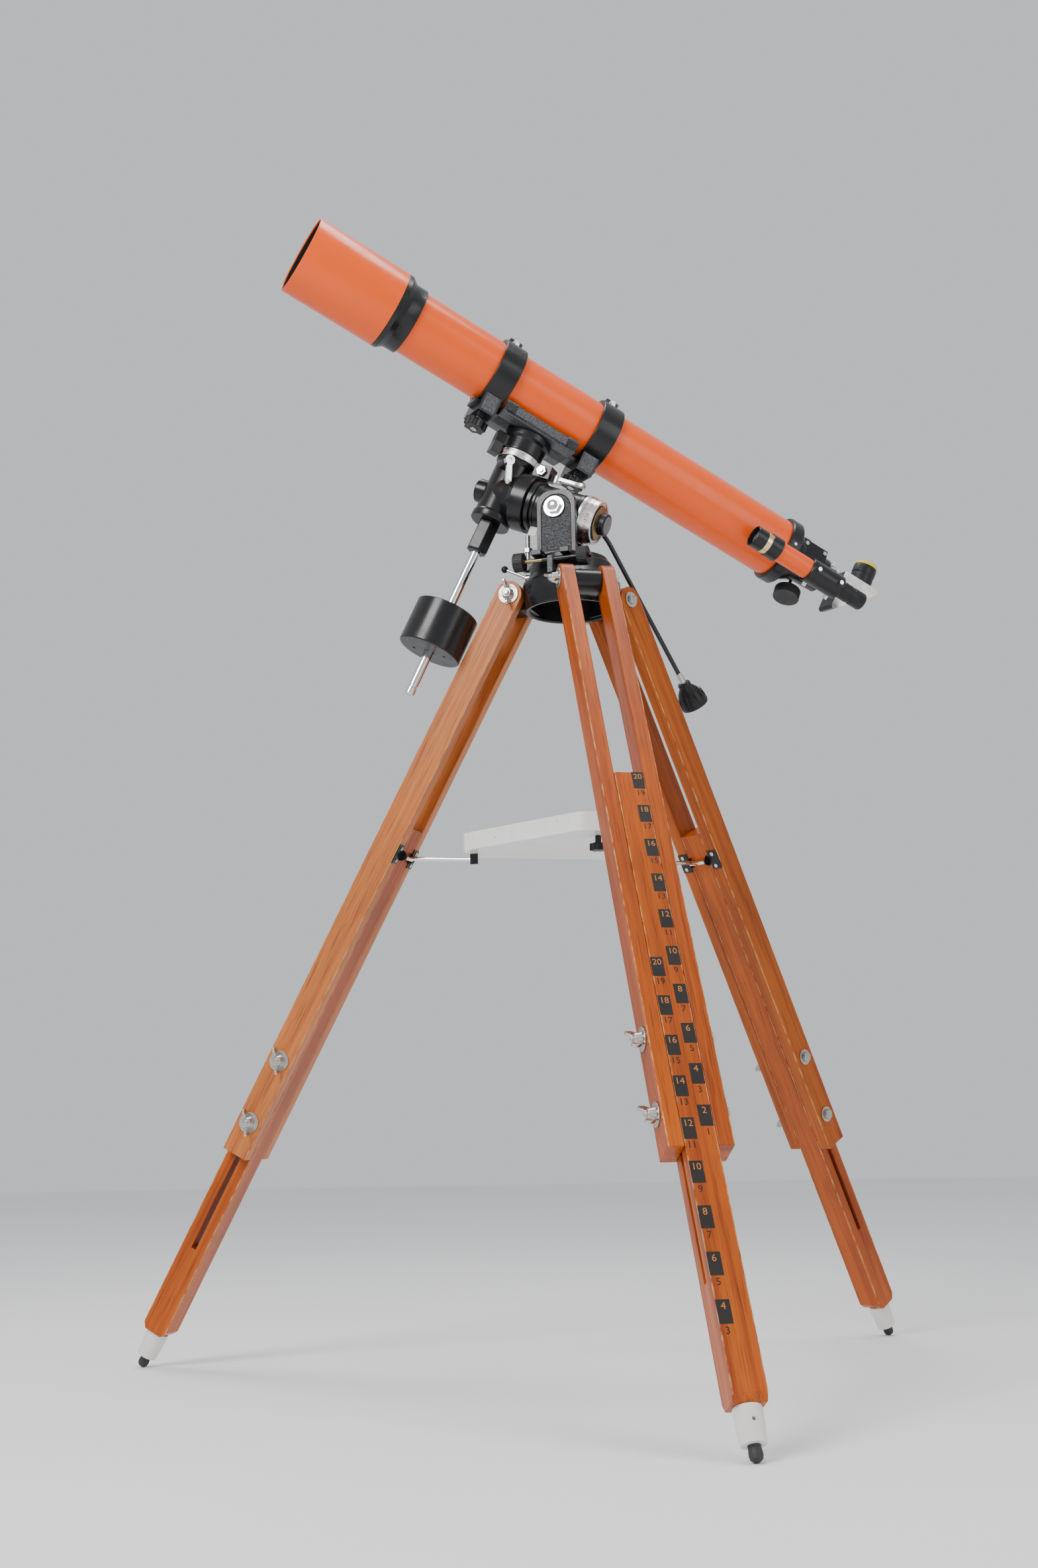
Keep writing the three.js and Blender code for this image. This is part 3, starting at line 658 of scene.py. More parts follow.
def make_leg(name):
    leg = leg_frame(name)
    body = f"leg_{name}"
    board = f"board_{name}"
    outer, half = SLAT_CORNER
    outline = [(-half, -SLAT_LENGTH), (half, -SLAT_LENGTH), *arc(0, 0, half, 0, 180, 28)]
    for letter, low, high in (("a", -outer, -SLAT_INNER), ("b", SLAT_INNER, outer)):
        made(f"{body}_wood_{letter}", body, leg, WOODS[name], prism(outline, low, high, "x"), bevel=1.1,
             stands_for=[f"{body}_slat_{letter}"], slot="wood")
    board_half, depth = BOARD_CORNER
    end, top = BOARD_SPAN
    plank = [(-depth, top), (-depth, end + 8), (-13, end), (13, end), (depth, end + 8), (depth, top)]
    made(f"{board}_wood", board, leg, BOARD_WOOD[name], prism(plank, -board_half, board_half, "x"), bevel=1.0,
         holes=[block(-25, 25, -SLOT_HALF, SLOT_HALF, *SLOT_SPAN)], stands_for=[f"{body}_board"], slot="wood")
    board_scale(f"board_{name}", board, leg)
    made(f"foot_{name}_collar", board, leg, WHITE,
         spin([(0, -1163), (13.2, -1163), (13.8, -1161.5), (14.3, -1150), (14.7, -1148), (15.2, -1128.5),
               (14.8, -1126.4), (0, -1126.4)]), bevel=0.4,
         holes=[rod(2.2, -20, -8, "y", (0, 0, -1142), 20)], stands_for=[f"foot_{name}"])
    made(f"foot_{name}_tip", board, leg, RUBBER,
         spin([(0, -1179.5), (3.6, -1178.9), (6.4, -1176.6), (7.3, -1173), (7.2, -1170), (6.6, -1166),
               (6.8, -1162.5), (0, -1162.5)]), bevel=0)
    wing_bolt(f"hinge_{name}", f"hinge_bolt_{name}", leg, NUT_SIDE[name], f"hinge_bolt_{name}", 4)
    for level, where in CLAMPS.items():
        node = f"clamp_screw_{name}_{level}"
        wing_bolt(f"clamp_{name}_{level}", node, place(leg, z=-where), NUT_SIDE[name], node, 3)
    plates = [block(x0, x1, 18.9, 20.4, -402, -374) for x0, x1 in ((-36, -19.5), (19.5, 36))]
    ears = [prism([(18.9, -396), (24, -394), (28.5, -390), (28.5, -386), (24, -382), (18.9, -380)],
                  side * 15.6 - 0.8, side * 15.6 + 0.8, "x") for side in (-1, 1)]
    bridge = [block(x0, x1, 18.9, 20.2, -394, -382) for x0, x1 in ((-36, -14.8), (14.8, 36))]
    made(f"{body}_bracket", body, leg, BLACK, *plates, *ears, *bridge, bevel=0.4)
    screws = [rod(3, 20.4, 21.8, "y", (x, 0, z), 16) for x in (-28, 28) for z in (-379, -397)]
    made(f"{body}_bracket_screws", body, leg, STEEL, *screws, bevel=0.5)
    arm = place(leg, *ARM_PLACE, rx=LEG_TILT - ARM_DROOP)
    eye = spin([(3.3, -1.9), (5, -2.3), (6.4, -1.2), (6.4, 1.2), (5, 2.3), (3.3, 1.9), (3.3, -1.9)], "x",
               (0, ARM_LENGTH, 0), 40)
    made(f"tray_arm_{name}_wire", f"tray_arm_{name}", arm, CHROME, rod(2.75, 0, ARM_LENGTH - 4.6, "y"),
         rod(2.75, -14, 14, "x"), eye, bevel=0.3, stands_for=[f"tray_arm_{name}"])


TRAY_BOTTOM = 685.3
TRAY_TOP = 709.7


def tray_outline(inset):
    points = []
    for angle in (LEGS["front"], LEGS["right"], LEGS["left"]):
        for side in (-1, 1):
            x, y = 151.8 - inset, side * (34.5 - inset * 0.577)
            c, s = math.cos(angle * DEG), math.sin(angle * DEG)
            points.append((x * c - y * s, x * s + y * c))
    return rounded(points, 9 - inset * 0.5, 6)


def make_tray():
    outer = prism(tray_outline(0), TRAY_BOTTOM, TRAY_TOP)
    made("tray_pan", *ON_HEAD, ENAMEL, outer, bevel=0.7,
         holes=[prism(tray_outline(1.9), TRAY_BOTTOM + 1.8, TRAY_TOP + 5)], stands_for=["tray"])
    hooks = [turned(block(139, 150, 3.2, 6.2, 671, TRAY_BOTTOM + 0.5), "z", angle) for angle in LEGS.values()]
    made("tray_hooks", *ON_HEAD, BLACK, *hooks, bevel=0.5)
    seat = place(ORIGIN, 112 * math.cos(LEGS["front"] * DEG), 112 * math.sin(LEGS["front"] * DEG))
    made("tray_knob_grip", "tray_knob", seat, SATIN, prism(lobed(10, 1.4, 6), 665.5, 675.2),
         rod(4, 673, 685), bevel=0.9, stands_for=["tray_knob"])


make_head()
for leg_name in LEGS:
    make_leg(leg_name)
make_tray()


# ---- fork, azimuth and latitude -------------------------------------------------------------------
CHEEK_NEAR = (-33.5, 21.9)
CHEEK_FAR = (-33.5, 5)
CHEEK_Z = (1084, 1177)
BORDER = 6.5


def cheek_outline(x0, x1, inset=0.0):
    low, high = CHEEK_Z[0] + inset, CHEEK_Z[1] - inset
    x0, x1 = x0 + inset, x1 - inset
    corner = min(20, (x1 - x0) / 2 - 0.5)
    return [(x0, low), (x1, low), *arc(x1 - corner, high - corner, corner, 0, 90),
            *arc(x0 + corner, high - corner, corner, 90, 180)]


def knurled(radius, low, high, axis, lobes=36, depth=0.35, at=(0, 0, 0)):
    grip = prism(lobed(radius - depth, depth, lobes, 6), low, high)
    return moved(grip, AXES[axis], at)


def make_base():
    bolt_hole = rod(6.5, -60, 60, "y", (PIVOT[0], 0, PIVOT[2]), 32)
    made("base_flange", *ON_BASE, BLACK,
         spin([(0, HEAD_TOP + 0.3), (51.5, HEAD_TOP + 0.3), (52, 1080), (52, 1085.5), (50.5, 1087),
               (0, 1087)], steps=FINE), block(-70, -40, -8, 8, HEAD_TOP + 0.3, 1095), bevel=1,
         holes=[rod(4, 1070, 1100, "z", (-62, 0, 0), 24)], stands_for=["mount_base"], slot="hammered_paint")
    made("cheek_near", *ON_BASE, BLACK, prism(cheek_outline(*CHEEK_NEAR), -45, -36, "y"), bevel=1.6,
         holes=[prism(cheek_outline(*CHEEK_NEAR, BORDER), -50, -43.6, "y"), bolt_hole], slot="hammered_paint")
    made("cheek_panel", *ON_BASE, HAMMER,
         prism(cheek_outline(*CHEEK_NEAR, BORDER + 0.1), -44.3, -42, "y"), bevel=0.5, holes=[bolt_hole])
    made("cheek_far", *ON_BASE, BLACK, prism(cheek_outline(*CHEEK_FAR), 36, 45, "y"), bevel=1.6,
         holes=[bolt_hole], slot="hammered_paint")
    for side, (x0, x1) in (("left", (-35, -20.5)), ("right", (6, 19))):
        made(f"screw_holder_{side}", *ON_BASE, BLACK, block(x0, x1, -70, -40, HEAD_TOP + 0.3, 1086.6),
             block(x0, x1, -70, -58, SCREW_PLACE[2], 1086), rod(6.3, x0, x1, "x", SCREW_PLACE), bevel=0.9,
             holes=[rod(3.3, -60, 50, "x", SCREW_PLACE, 24)], slot="hammered_paint")


def make_azimuth_and_latitude():
    screw = place(FORK, *SCREW_PLACE)
    for side, rod_span, knob in (("left", (-50, -12.3), (-60, -46)), ("right", (-3.7, 40), (31, 45))):
        node = f"azimuth_screw_{side}"
        threads = [ring(2.85, 2, x, x + 0.7, "x", steps=24) for x in range(int(rod_span[0]) + 1,
                                                                           int(rod_span[1]), 2)]
        made(f"{node}_rod", node, screw, BRASS, rod(2.6, *rod_span, "x", steps=24), *threads, bevel=0.15,
             stands_for=[node])
        made(f"{node}_knob", node, screw, SATIN, knurled(13, *knob, "x"), bevel=0.9)
    lever = place(FORK, z=1069)
    angle = 26.6 * DEG
    tip = (-63 - 38 * math.cos(angle), 0, 38 * math.sin(angle))
    arm = moved(rod(2.2, 0, 36), Matrix.Rotation(-90 * DEG + angle, 3, "Y"), (-63, 0, 0))
    made("azimuth_lever_arm", "azimuth_lever", lever, STEEL, rod(5, -66, -57.8, "x"), arm, bevel=0.6,
         stands_for=["azimuth_lever"])
    made("azimuth_lever_ball", "azimuth_lever", lever, SATIN, ball(5, tip), bevel=0)
    pivot = place(FORK, *PIVOT)
    dome = spin([(0, -55), (4, -54.6), (7.5, -53.4), (9, -52), (9, -50), (0, -50)], "y")
    made("latitude_bolt_head", "latitude_bolt", pivot, CHROME, rod(11, -53, -47.4, "y", steps=6), dome,
         rod(5.9, -46, -24, "y"), bevel=0.7, stands_for=["latitude_bolt"])
    made("latitude_washer", "latitude_bolt", pivot, CHROME, ring(15, 5, -47.4, -45.4, "y"), bevel=0.5)
    place_screw = place(FORK, x=-62)
    threads = [ring(3.55, 2.5, z, z + 0.8, steps=24) for z in range(1083, 1130, 2) if not 1105 <= z <= 1112]
    made("latitude_screw_rod", "latitude_screw", place_screw, STEEL, rod(3.1, 1081, 1131), *threads,
         rod(6.5, 1106, 1112, steps=6), bevel=0.2, stands_for=["latitude_screw"])


# ---- right ascension ------------------------------------------------------------------------------
def dial_marks(radius_low, radius_high, low, high, count, axis, width=0.5):
    marks = []
    for i in range(count):
        long = i % 5 == 0
        end = high if long else low + (high - low) * 0.55
        mark = block(low, end, -width / 2, width / 2, radius_low - 0.3, radius_high + 0.12)
        if axis == "z":
            mark = moved(mark, Matrix(((0, 0, 1), (0, 1, 0), (1, 0, 0))))
        marks.append(turned(mark, axis, 360 * i / count))
    return marks


def dial_numbers(texts, radius, along, size, axis):
    """Numbers round a band: they stand up along the axis."""
    entries = []
    for i, text in enumerate(texts):
        angle = 2 * math.pi * i / len(texts)
        out, round_it = (math.cos(angle), math.sin(angle)), (-math.sin(angle), math.cos(angle))
        if axis == "x":
            normal, up = Vector((0, *out)), Vector((-1, 0, 0))
            spot = Vector((along, out[0] * radius, out[1] * radius))
        else:
            normal, up = Vector((*out, 0)), Vector((0, 0, 1))
            spot = Vector((out[0] * radius, out[1] * radius, along))
        right = up.cross(normal)
        local = Matrix((right, up, normal)).transposed().to_4x4()
        local.translation = spot
        entries.append((text, size, local))
    return entries


def make_right_ascension():
    drop = PIVOT[2] - POLAR_HEIGHT
    turn = LATITUDE * DEG
    pivot_x = PIVOT[0] * math.cos(turn) - drop * math.sin(turn)
    pivot_z = PIVOT[0] * math.sin(turn) + drop * math.cos(turn)
    made("ra_body", *ON_POLAR, BLACK,
         spin([(0, -56), (35.6, -56), (36.5, -55), (36.5, -49), (35.5, -48), (33, -47.6), (33, -44),
               (32, -42.5), (32, 16), (33, 17), (33, 22), (24, 22), (24, 46.2), (0, 46.2)], "x", steps=FINE),
         rod(6.5, 25, 37, "z", (-35.6, 0, 0)), block(14, 22, 26, 50, -9, 4),
         rod(14, -35.6, 35.6, "y", (pivot_x, 0, pivot_z)), bevel=0.8,
         holes=[rod(6.4, -40, -22, "y", (pivot_x, 0, pivot_z), 24)], stands_for=["ra_housing"])
    made("ra_inner_disc", *ON_POLAR, BRASS,
         spin([(15.8, 46), (23.8, 46), (23.2, 46.9), (15.8, 49)], "x"), bevel=0)
    made("polar_cap", *ON_POLAR, SATIN,
         spin([(0, 46), (15.7, 46), (15.7, 56.6), (14.6, 58.2), (0, 58.2)], "x"), bevel=0.3,
         slot="black_paint")
    made("polar_cap_face", *ON_POLAR, GREY_FACE,
         spin([(0, 58), (12.8, 58), (12.2, 59), (4, 59), (3.6, 58.5), (0, 58.5)], "x"), bevel=0)
    made("latitude_pointer", *ON_POLAR, WHITE, block(-46, -34, -10.5, -9.5, -44, -31), bevel=0.3)
    made("worm_shaft_end", *ON_POLAR, STEEL, rod(5.6, 11, 14, "x", (0, 38, -2.5)),
         rod(4, 22, 24, "x", (0, 38, -2.5), 6), bevel=0.3)
    made("ra_dial", "ra_circle", POLAR, DIAL,
         spin([(24.6, 22.6), (33, 22.6), (33.9, 23.6), (33.9, 26.4), (33.3, 27.2), (31.2, 42.6), (30.6, 45),
               (29.6, 45.8), (27.4, 45.8), (26.8, 44), (24.6, 44), (24.6, 22.6)], "x", steps=FINE),
         bevel=0.2, stands_for=["ra_circle"])
    made("ra_dial_marks", "ra_circle", POLAR, BLACK_INK, *dial_marks(31.9, 33.1, 28, 32.6, 120, "x", 0.35),
         bevel=0)
    numerals("ra_dial_numbers", "ra_circle", POLAR, RED_INK,
             dial_numbers([str(hour) for hour in range(24)], 32.15, 37.4, 6.2, "x"), "dial")
    lever = place(POLAR, x=-35.6)
    arm = [(-5, -4), (0, -6), (28, -4.4), (36, -6.4), (42, -7), (43, 0), (42, 7), (36, 6.4), (28, 4.4),
           (0, 6), (-5, 4)]
    made("ra_lever_arm", "ra_lever", lever, STEEL, spin([(0, 37.4), (7, 37.4), (7, 48), (5.6, 49), (0, 49)]),
         prism(rounded(arm, 1.6, 3), 42, 46.8), bevel=1.2, stands_for=["ra_lever"], slot="chrome")


# ---- declination ----------------------------------------------------------------------------------
LEVER_PLACE = (22, 0, 37)


def make_declination():
    boss = turned(block(37, 63, -12, 12, 38, 57), "x", -HOUR_ANGLE)
    lever_boss = turned(rod(8, 10, 33, "y", (LEVER_PLACE[0], 0, LEVER_PLACE[2])), "z", TUBE_TURN)
    made("dec_body", *ON_DEC, BLACK,
         spin([(0, -45), (28, -45), (28.6, -44), (28.6, -35), (27, -32.5), (27, 44), (29.6, 48), (30, 51),
               (24, 51), (24, 63.7), (0, 63.7)], steps=FINE),
         spin([(0, -37.7), (16, -37.7), (17, -36.5), (17, -21), (21, -17), (26, -8), (29, 0), (31.5, 10),
               (33, 20), (37, 25), (41, 29), (41, 50), (40, 51), (0, 51)], "x", steps=FINE), boss, lever_boss,
         bevel=1.0, stands_for=["dec_housing"])
    nut = [turned(rod(7.4, -17, -12, "y", (50, 0, 47.5), 6), "x", -HOUR_ANGLE),
           turned(rod(3.6, -20, -16, "y", (50, 0, 47.5)), "x", -HOUR_ANGLE)]
    made("dec_boss_nut", *ON_DEC, CHROME, *nut, bevel=0.5)
    made("dec_dial", "dec_circle", DEC, DIAL,
         spin([(24.5, 51.6), (30.2, 51.6), (31, 52.4), (31, 62.4), (30, 63.5), (24.5, 63.5), (24.5, 51.6)],
              steps=FINE), bevel=0.2, stands_for=["dec_circle"])
    made("dec_dial_marks", "dec_circle", DEC, BLACK_INK, *dial_marks(30.9, 30.95, 52.6, 55.4, 90, "z", 0.35),
         bevel=0)
    numerals("dec_dial_numbers", "dec_circle", DEC, RED_INK,
             dial_numbers([str(value) for value in (*range(0, 90, 30), *range(90, 0, -30)) * 2], 31.0, 59,
                          5.2, "z"), "dial")
    lever = place(DEC_SIDE, *LEVER_PLACE)
    arm = [(-4.5, -1), (4.5, 2), (-7, -30), (-15, -27)]
    made("dec_lever_arm", "dec_lever", lever, CHROME, ring(7, 3.2, 33.4, 42, "y"), rod(3, 33.4, 40, "y"),
         prism(rounded(arm, 1.5, 3), 36, 41, "y"), ball(4, (-11, 39, -29)), bevel=0.7,
         stands_for=["dec_lever"])
    made("shaft_adapter", *ON_DEC, BLACK, rod(16, -90, -45.4, steps=6),
         spin([(0, -92), (12, -92), (14, -89.6), (0, -89.6)]), bevel=0.9, slot="chrome")
    made("shaft_rod", *ON_DEC, CHROME,
         spin([(0, -318.8), (6, -318.8), (7, -317.6), (7, -309), (6, -308.2), (6, -305.6), (7, -304.8),
               (7, -90), (0, -90)]), bevel=0.2, stands_for=["counterweight_shaft"])
    made("counterweight_body", "counterweight", DEC, BLACK,
         spin([(7.5, -252.2), (43.4, -252.2), (45, -250.6), (45, -188.6), (43.4, -187), (7.5, -187),
               (7.5, -252.2)], steps=FINE), bevel=0.3,
         holes=[rod(2.4, -256, -246, "z", (24 * side, 0, 0), 20) for side in (-1, 1)],
         stands_for=["counterweight"], slot="black_iron")


# ---- saddle and rings -----------------------------------------------------------------------------
RINGS = {"front": (78.5, 79), "rear": (-87.5, -86)}
FOOT_TUNNEL = (15.4, -57.4, -49.8)


def make_saddle():
    made("dec_head_body", *ON_SADDLE, BLACK,
         spin([(0, -89), (29.8, -89), (30.5, -88), (30.5, -71), (32, -69), (34.5, -67), (34.5, -58.4),
               (33.5, -57.4), (0, -57.4)], steps=FINE), block(20, 46, -9, 9, -88, -71),
         block(31.7, 46, -9, 9, -104, -71), bevel=1.1, stands_for=["dec_head"])
    plate = [(-60, -34), (-56, -38), (56, -38), (60, -34), (60, 34), (56, 38), (-56, 38), (-60, 34)]
    rails = []
    for y0, y1 in ((31, 38), (-38, -31)):
        rails += [block(-60, 60, y0, y1, -56.8, -39), block(41, 60, y0, y1, -56, -37.2),
                  block(-60, -41, y0, y1, -56, -37.2)]
    made("saddle_bed", *ON_SADDLE, HAMMER_FINE, prism(plate, -57, -50.5), *rails, bevel=1.0,
         stands_for=["saddle_plate"])
    made("saddle_tongue", *ON_SADDLE, BLACK, block(-105, 99, -15, 15, -57, -50.3), bevel=0.8)
    for end, (centre, foot) in RINGS.items():
        bore = rod(45.3, centre - 60, centre + 60, "x", steps=FINE)
        tunnel = block(foot - 20, foot + 20, -FOOT_TUNNEL[0], FOOT_TUNNEL[0], FOOT_TUNNEL[1], FOOT_TUNNEL[2])
        made(f"ring_{end}_band", *ON_SADDLE, BLACK, ring(51, 45.3, centre - 17, centre + 17, "x", steps=FINE),
             bevel=1.1, stands_for=[f"ring_{end}"])
        made(f"ring_{end}_foot", *ON_SADDLE, BLACK, block(foot - 13, foot + 13, -30, 30, -70, -30), bevel=1.1,
             holes=[bore, tunnel])
        made(f"ring_{end}_plate", *ON_SADDLE, HAMMER_FINE, block(foot - 10, foot + 10, 29.8, 30.6, -67, -42),
             bevel=0.3)
        made(f"ring_{end}_boss", *ON_SADDLE, BLACK, block(centre - 10, centre + 10, -9, -1, 46, 58),
             block(centre - 10, centre + 10, 1, 9, 46, 58), bevel=1.0, holes=[bore])
        made(f"ring_{end}_screw", *ON_SADDLE, STEEL, rod(2.4, -14, 14, "y", (centre, 0, 53)),
             rod(5.2, 9, 10.2, "y", (centre, 0, 53)), rod(4.2, 10.2, 14.4, "y", (centre, 0, 53), 6),
             rod(4.2, -13, -9, "y", (centre, 0, 53), 6), bevel=0.4)
        knob = place(TUBE, x=foot)
        node = f"saddle_knob_{end}"
        made(f"{node}_grip", node, knob, SATIN, prism(lobed(15.5, 1.5, 7), -87, -74.2), bevel=1.4,
             stands_for=[node])
        made(f"{node}_stem", node, knob, STEEL, rod(8, -74.4, -70.5), rod(5, -88.4, -86.8), bevel=0.4)


# ---- optical tube ---------------------------------------------------------------------------------
FINDER_PLACE = (0, 61, -29)


def make_tube():
    made("tube_shell", *ON_TUBE, ORANGE, ring(45, 43.2, -427.8, 242.6, "x", steps=FINEST), bevel=0.2,
         stands_for=["main_tube"])
    made("lens_cell_body", *ON_TUBE, BLACK,
         spin([(45.3, 225), (47.6, 225), (48.5, 226), (48.5, 242.5), (50, 245), (55.5, 252), (55.5, 258.4),
               (53.2, 258.5), (53.2, 284), (42, 284), (42, 262), (39.5, 262), (39.5, 243.2), (45.3, 243.2),
               (45.3, 225)], "x", steps=FINEST), bevel=0.3, stands_for=["lens_cell"])
    made("lens_retainer", *ON_TUBE, SATIN, ring(41.9, 38.6, 278.8, 283.6, "x", steps=FINE), bevel=0.4,
         slot="black_paint")
    made("lens_front", *ON_TUBE, GLASS,
         spin([(0, 262.6), (22, 263.5), (39, 265.2), (41.5, 265.6), (41.5, 273), (39, 274.2), (30, 276),
               (22, 277.3), (10, 278.3), (0, 278.5)], "x", steps=FINE), bevel=0,
         stands_for=["objective_lens"])
    made("dew_shield_shell", "dew_shield", TUBE, ORANGE,
         spin([(53.7, 258.9), (55.5, 258.9), (55.5, 398.8), (55.2, 400.1), (54.4, 400.4), (53.7, 399.6),
               (53.7, 258.9)], "x", steps=FINEST), bevel=0, stands_for=["dew_shield"])
    made("dew_shield_lining", "dew_shield", TUBE, INSIDE, ring(53.75, 53.45, 259, 398.6, "x", steps=FINE),
         bevel=0)
    made("tail_ring_body", *ON_TUBE, BLACK,
         spin([(30, -432), (49, -432), (50.5, -430), (50.5, -414), (49, -412), (45.3, -412), (45.3, -428.2),
               (30, -428.2), (30, -432)], "x", steps=FINEST), bevel=0.3, stands_for=["tail_ring"])
    screws = [turned(rod(2.6, 50.2, 51.4, "z", (-421, 0, 0), 20), "x", angle) for angle in (30, 150, 270)]
    made("tail_ring_screws", *ON_TUBE, STEEL, *screws, bevel=0.3)
    pinion_side = place(TUBE, rx=PLATE_TILT)
    pinion = place(pinion_side, x=PINION_X, y=PINION_Y)
    made("focuser_barrel", *ON_TUBE, BLACK,
         spin([(17.4, -500), (26, -500), (27, -499), (27.3, -486), (28, -462), (33, -450), (38, -441),
               (38, -433), (37.5, -432.4), (17.4, -432.4), (17.4, -500)], "x", steps=FINE), bevel=0.5,
         holes=[turned(rod(3.6, -60, 60, "z", (PINION_X, PINION_Y, 0), 24), "x", PLATE_TILT)],
         stands_for=["focuser_body"])
    made("pinion_plate", "optical_tube", pinion_side, BLACK, block(-485, -441, 26.5, 34, -20, 20), bevel=1.6)
    plate_screws = [rod(3.2, 34, 35.3, "y", (x, 0, z), 20) for x in (-480, -447) for z in (-13, 13)]
    made("pinion_plate_screws", "optical_tube", pinion_side, CHROME, *plate_screws, bevel=0.4)
    caps = [knurled(20, min(side * 37, side * 52), max(side * 37, side * 52), "z", 48, 0.3) for side in (-1,
                                                                                                         1)]
    made("focus_grips", "focus_knob", pinion, RUBBER, *caps, bevel=1.2, stands_for=["focus_knob"])
    made("focus_shaft", "focus_knob", pinion, CHROME, rod(3, -46, 46), bevel=0.1)
    made("drawtube_barrel", "drawtube", TUBE, CHROME, ring(17, 15.9, -507.5, -440, "x"), bevel=0.2,
         stands_for=["drawtube"])
    made("drawtube_collar", "drawtube", TUBE, SATIN,
         spin([(15.9, -519.6), (18.6, -519.6), (19.5, -518.6), (19.5, -508), (18.6, -507), (15.9, -507),
               (15.9, -519.6)], "x"), bevel=0.2, slot="black_paint")
    made("drawtube_thumbscrew", "drawtube", TUBE, CHROME, rod(2.2, 18, 26, "z", (-513.5, 0, 0)),
         knurled(4.6, 23.5, 31, "z", 20, 0.25, (-513.5, 0, 0)), bevel=0.4)


def make_diagonal():
    outline = [(-527, 21), (-586, 21), (-592, 15), (-588, 10), (-538, -38), (-531, -42), (-527, -38)]
    made("diagonal_body", "diagonal", TUBE, BLACK, prism(rounded(outline, 2, 3), -19, 18.6, "y"), bevel=1.0,
         holes=[rod(12.5, 8, 30, "z", (-565, 0, 0), 48)], stands_for=["diagonal"])
    made("diagonal_side_plate", "diagonal", TUBE, STEEL, prism(rounded(outline, 2, 3), 18.7, 20, "y"),
         bevel=0.4)
    made("diagonal_collar", "diagonal", TUBE, SATIN, rod(17.5, -527.2, -520.4, "x"), bevel=0.5, slot="chrome")
    made("diagonal_nose", "diagonal", TUBE, CHROME, ring(15.6, 13.5, -521, -508, "x"), bevel=0.3)
    made("diagonal_thumbscrew", "diagonal", TUBE, CHROME, rod(1.8, 12, 19, "z", (-523.8, 0, 0)),
         knurled(3.9, 18, 23.4, "z", 18, 0.25, (-523.8, 0, 0)), bevel=0.4)
    seat = place(TUBE, x=-565)
    made("eyepiece_barrel", "eyepiece", seat, CHROME, spin([(0, 9.3), (11.9, 9.3), (11.9, 21.5), (0, 21.5)]),
         bevel=0.3)
    made("eyepiece_body", "eyepiece", seat, SATIN,
         spin([(0, 21.4), (17.2, 21.4), (18, 22.2), (18, 33), (17, 34), (17, 37), (18, 38), (18, 49),
               (17, 51.5),
               (15, 57), (9, 57), (7.5, 54), (0, 54)], steps=FINE), bevel=0.3, stands_for=["eyepiece"])
    made("eyepiece_glass", "eyepiece", seat, GLASS, spin([(0, 53.8), (7.4, 53.8), (5, 55), (0, 55.6)]),
         bevel=0)
    made("eyepiece_strap", "eyepiece", seat, YELLOW,
         spin([(16.6, 51), (17.6, 51), (16.4, 55.8), (15.4, 56.6), (16.6, 51)]), bevel=0)


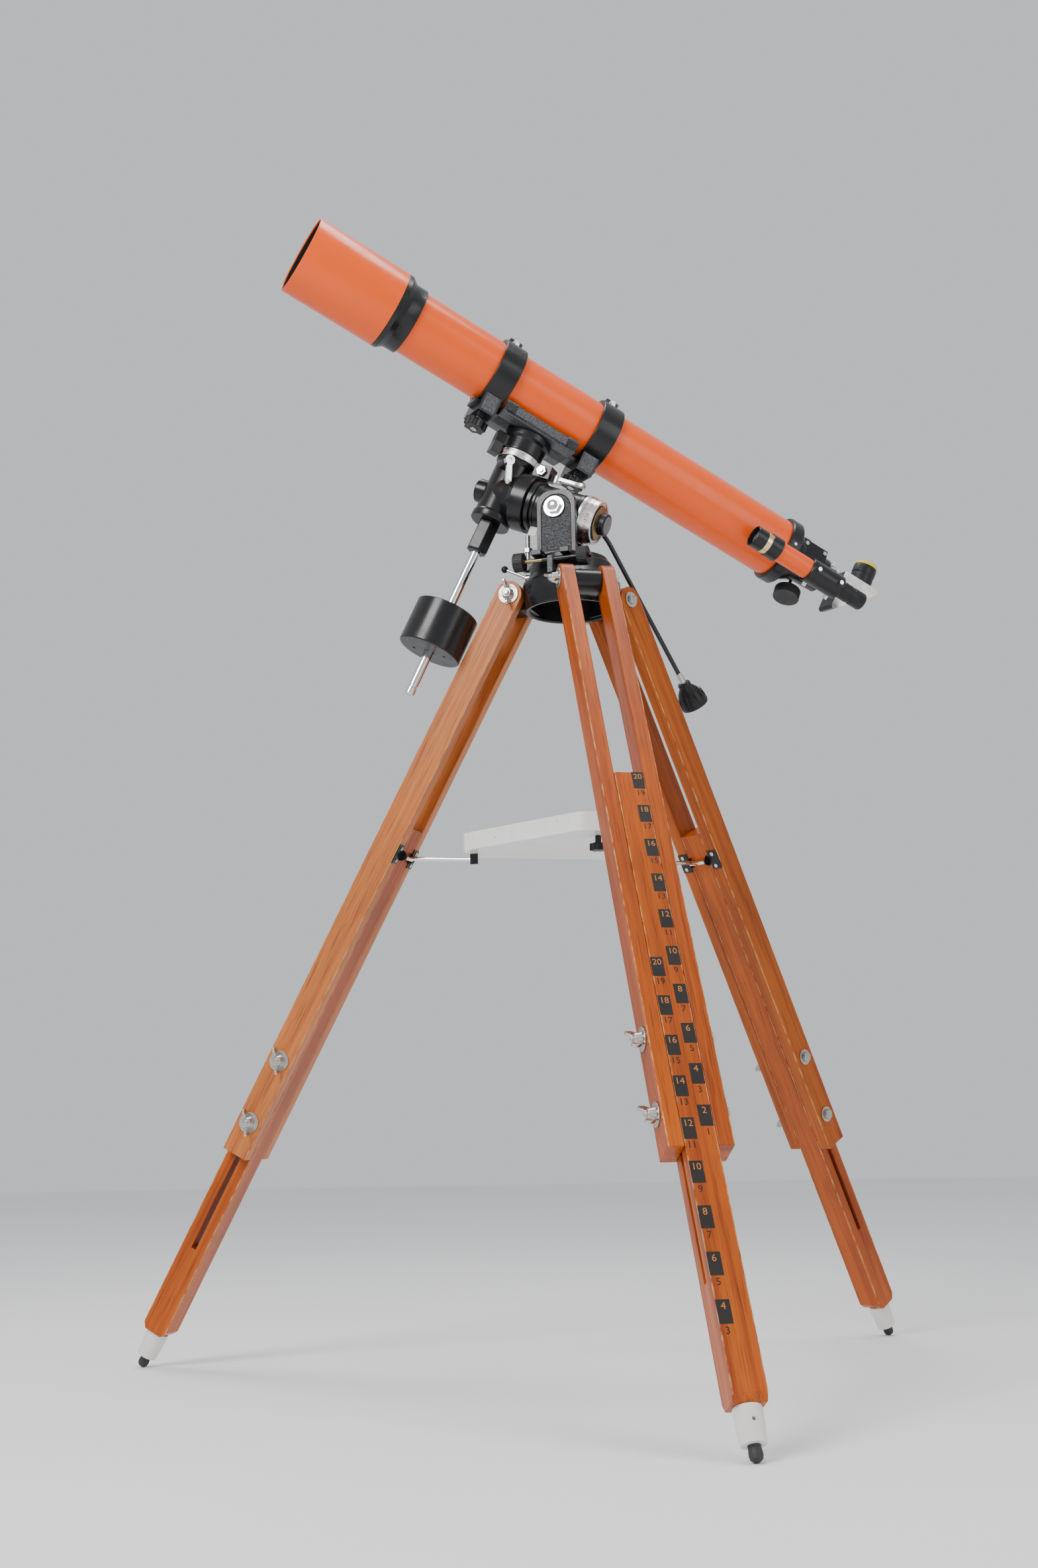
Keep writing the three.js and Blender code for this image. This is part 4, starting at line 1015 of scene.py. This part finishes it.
def make_finder():
    seat = place(TUBE, *FINDER_PLACE)
    sections = [
        ("eyepiece", SATIN, [(0, -552), (11, -552), (12, -551.2), (13.3, -549), (13.3, -531), (12.6, -530),
                             (12.6, -527), (13.3, -526), (13.3, -506.5), (0, -506.5)]),
        ("sleeve", BLACK, [(0, -507), (17.6, -507), (18.5, -506), (18.5, -450), (17.6, -449), (0, -449)]),
        ("tube", ORANGE, [(0, -449.5), (15.3, -449.5), (15.3, -394.5), (0, -394.5)]),
        ("cell", BLACK, [(0, -395), (16.6, -395), (17.5, -394), (17.5, -376), (0, -376)]),
        ("band", GOLD, [(0, -376.4), (16, -376.4), (16, -367.8), (0, -367.8)]),
        ("hood", BLACK, [(0, -368), (15.9, -368), (16, -350.6), (15.4, -350), (14, -350.4), (14, -357),
                         (0, -357)]),
    ]
    for number, (name, material, profile) in enumerate(sections):
        made(f"finder_{name}", "optical_tube", seat, material, spin(profile, "x", steps=FINE), bevel=0.2,
             stands_for=["finder"] if number == 0 else (), slot="orange_paint")
    made("finder_glass", "optical_tube", seat, GLASS,
         spin([(0, -357.2), (13.9, -357.2), (8, -355.4), (0, -354.8)], "x"), bevel=0)
    lean = math.atan2(FINDER_PLACE[2], FINDER_PLACE[1]) / DEG
    made("finder_stalk", *ON_TUBE, BLACK, turned(block(-498, -487, 28.4, 56, -5, 5), "x", lean), bevel=1.2)
    screws = [turned(knurled(3.4, 18.2, 24, "z", 16, 0.25, (x, 0, 0)), "x", angle)
              for x in (-498, -458) for angle in (30, 150, 270)]
    made("finder_screws", "optical_tube", seat, CHROME, *screws, bevel=0.3)


make_base()
make_azimuth_and_latitude()
make_right_ascension()
make_declination()
make_saddle()
make_tube()
make_diagonal()
make_finder()


# ---- stage ----------------------------------------------------------------------------------------
def area_light(name, spot, target, size, power, tint=(1, 1, 1)):
    data = bpy.data.lights.new(name, "AREA")
    data.shape = "RECTANGLE"
    data.size, data.size_y = size
    data.energy = power
    data.color = tint
    lamp = new_object(name, data)
    aim = (Vector(target) - Vector(spot)).to_track_quat("-Z", "Y")
    lamp.matrix_world = Matrix.Translation(Vector(spot)) @ aim.to_matrix().to_4x4()


def make_stage():
    points = [(-8, -6, 0), (8, -6, 0), (8, 8, 0), (-8, 8, 0)]
    mesh = bpy.data.meshes.new("floor")
    mesh.from_pydata(points, [], [(0, 1, 2, 3)])
    floor = new_object("floor", mesh)
    nodes = Nodes("pale_floor")
    tone = nodes.ramp(nodes.noise(0.8, 2), [(0.3, 0.86), (0.7, 0.9)])
    nodes.feed("Base Color", tone)
    nodes.set(Roughness=0.7)
    mesh.materials.append(nodes.material)
    world = bpy.data.worlds.new("studio")
    world.use_nodes = True
    world.node_tree.nodes["Background"].inputs["Color"].default_value = (0.94, 0.96, 1.0, 1)
    world.node_tree.nodes["Background"].inputs["Strength"].default_value = 0.72
    bpy.context.scene.world = world
    middle = (0, 0.1, 0.95)
    area_light("key", (-1.6, -2.2, 2.6), middle, (1.3, 1.3), 92)
    area_light("fill", (2.4, -1.8, 1.5), middle, (1.2, 2.0), 18)
    area_light("top", (0.2, 0.4, 3.2), middle, (2.2, 0.6), 40)


make_stage()
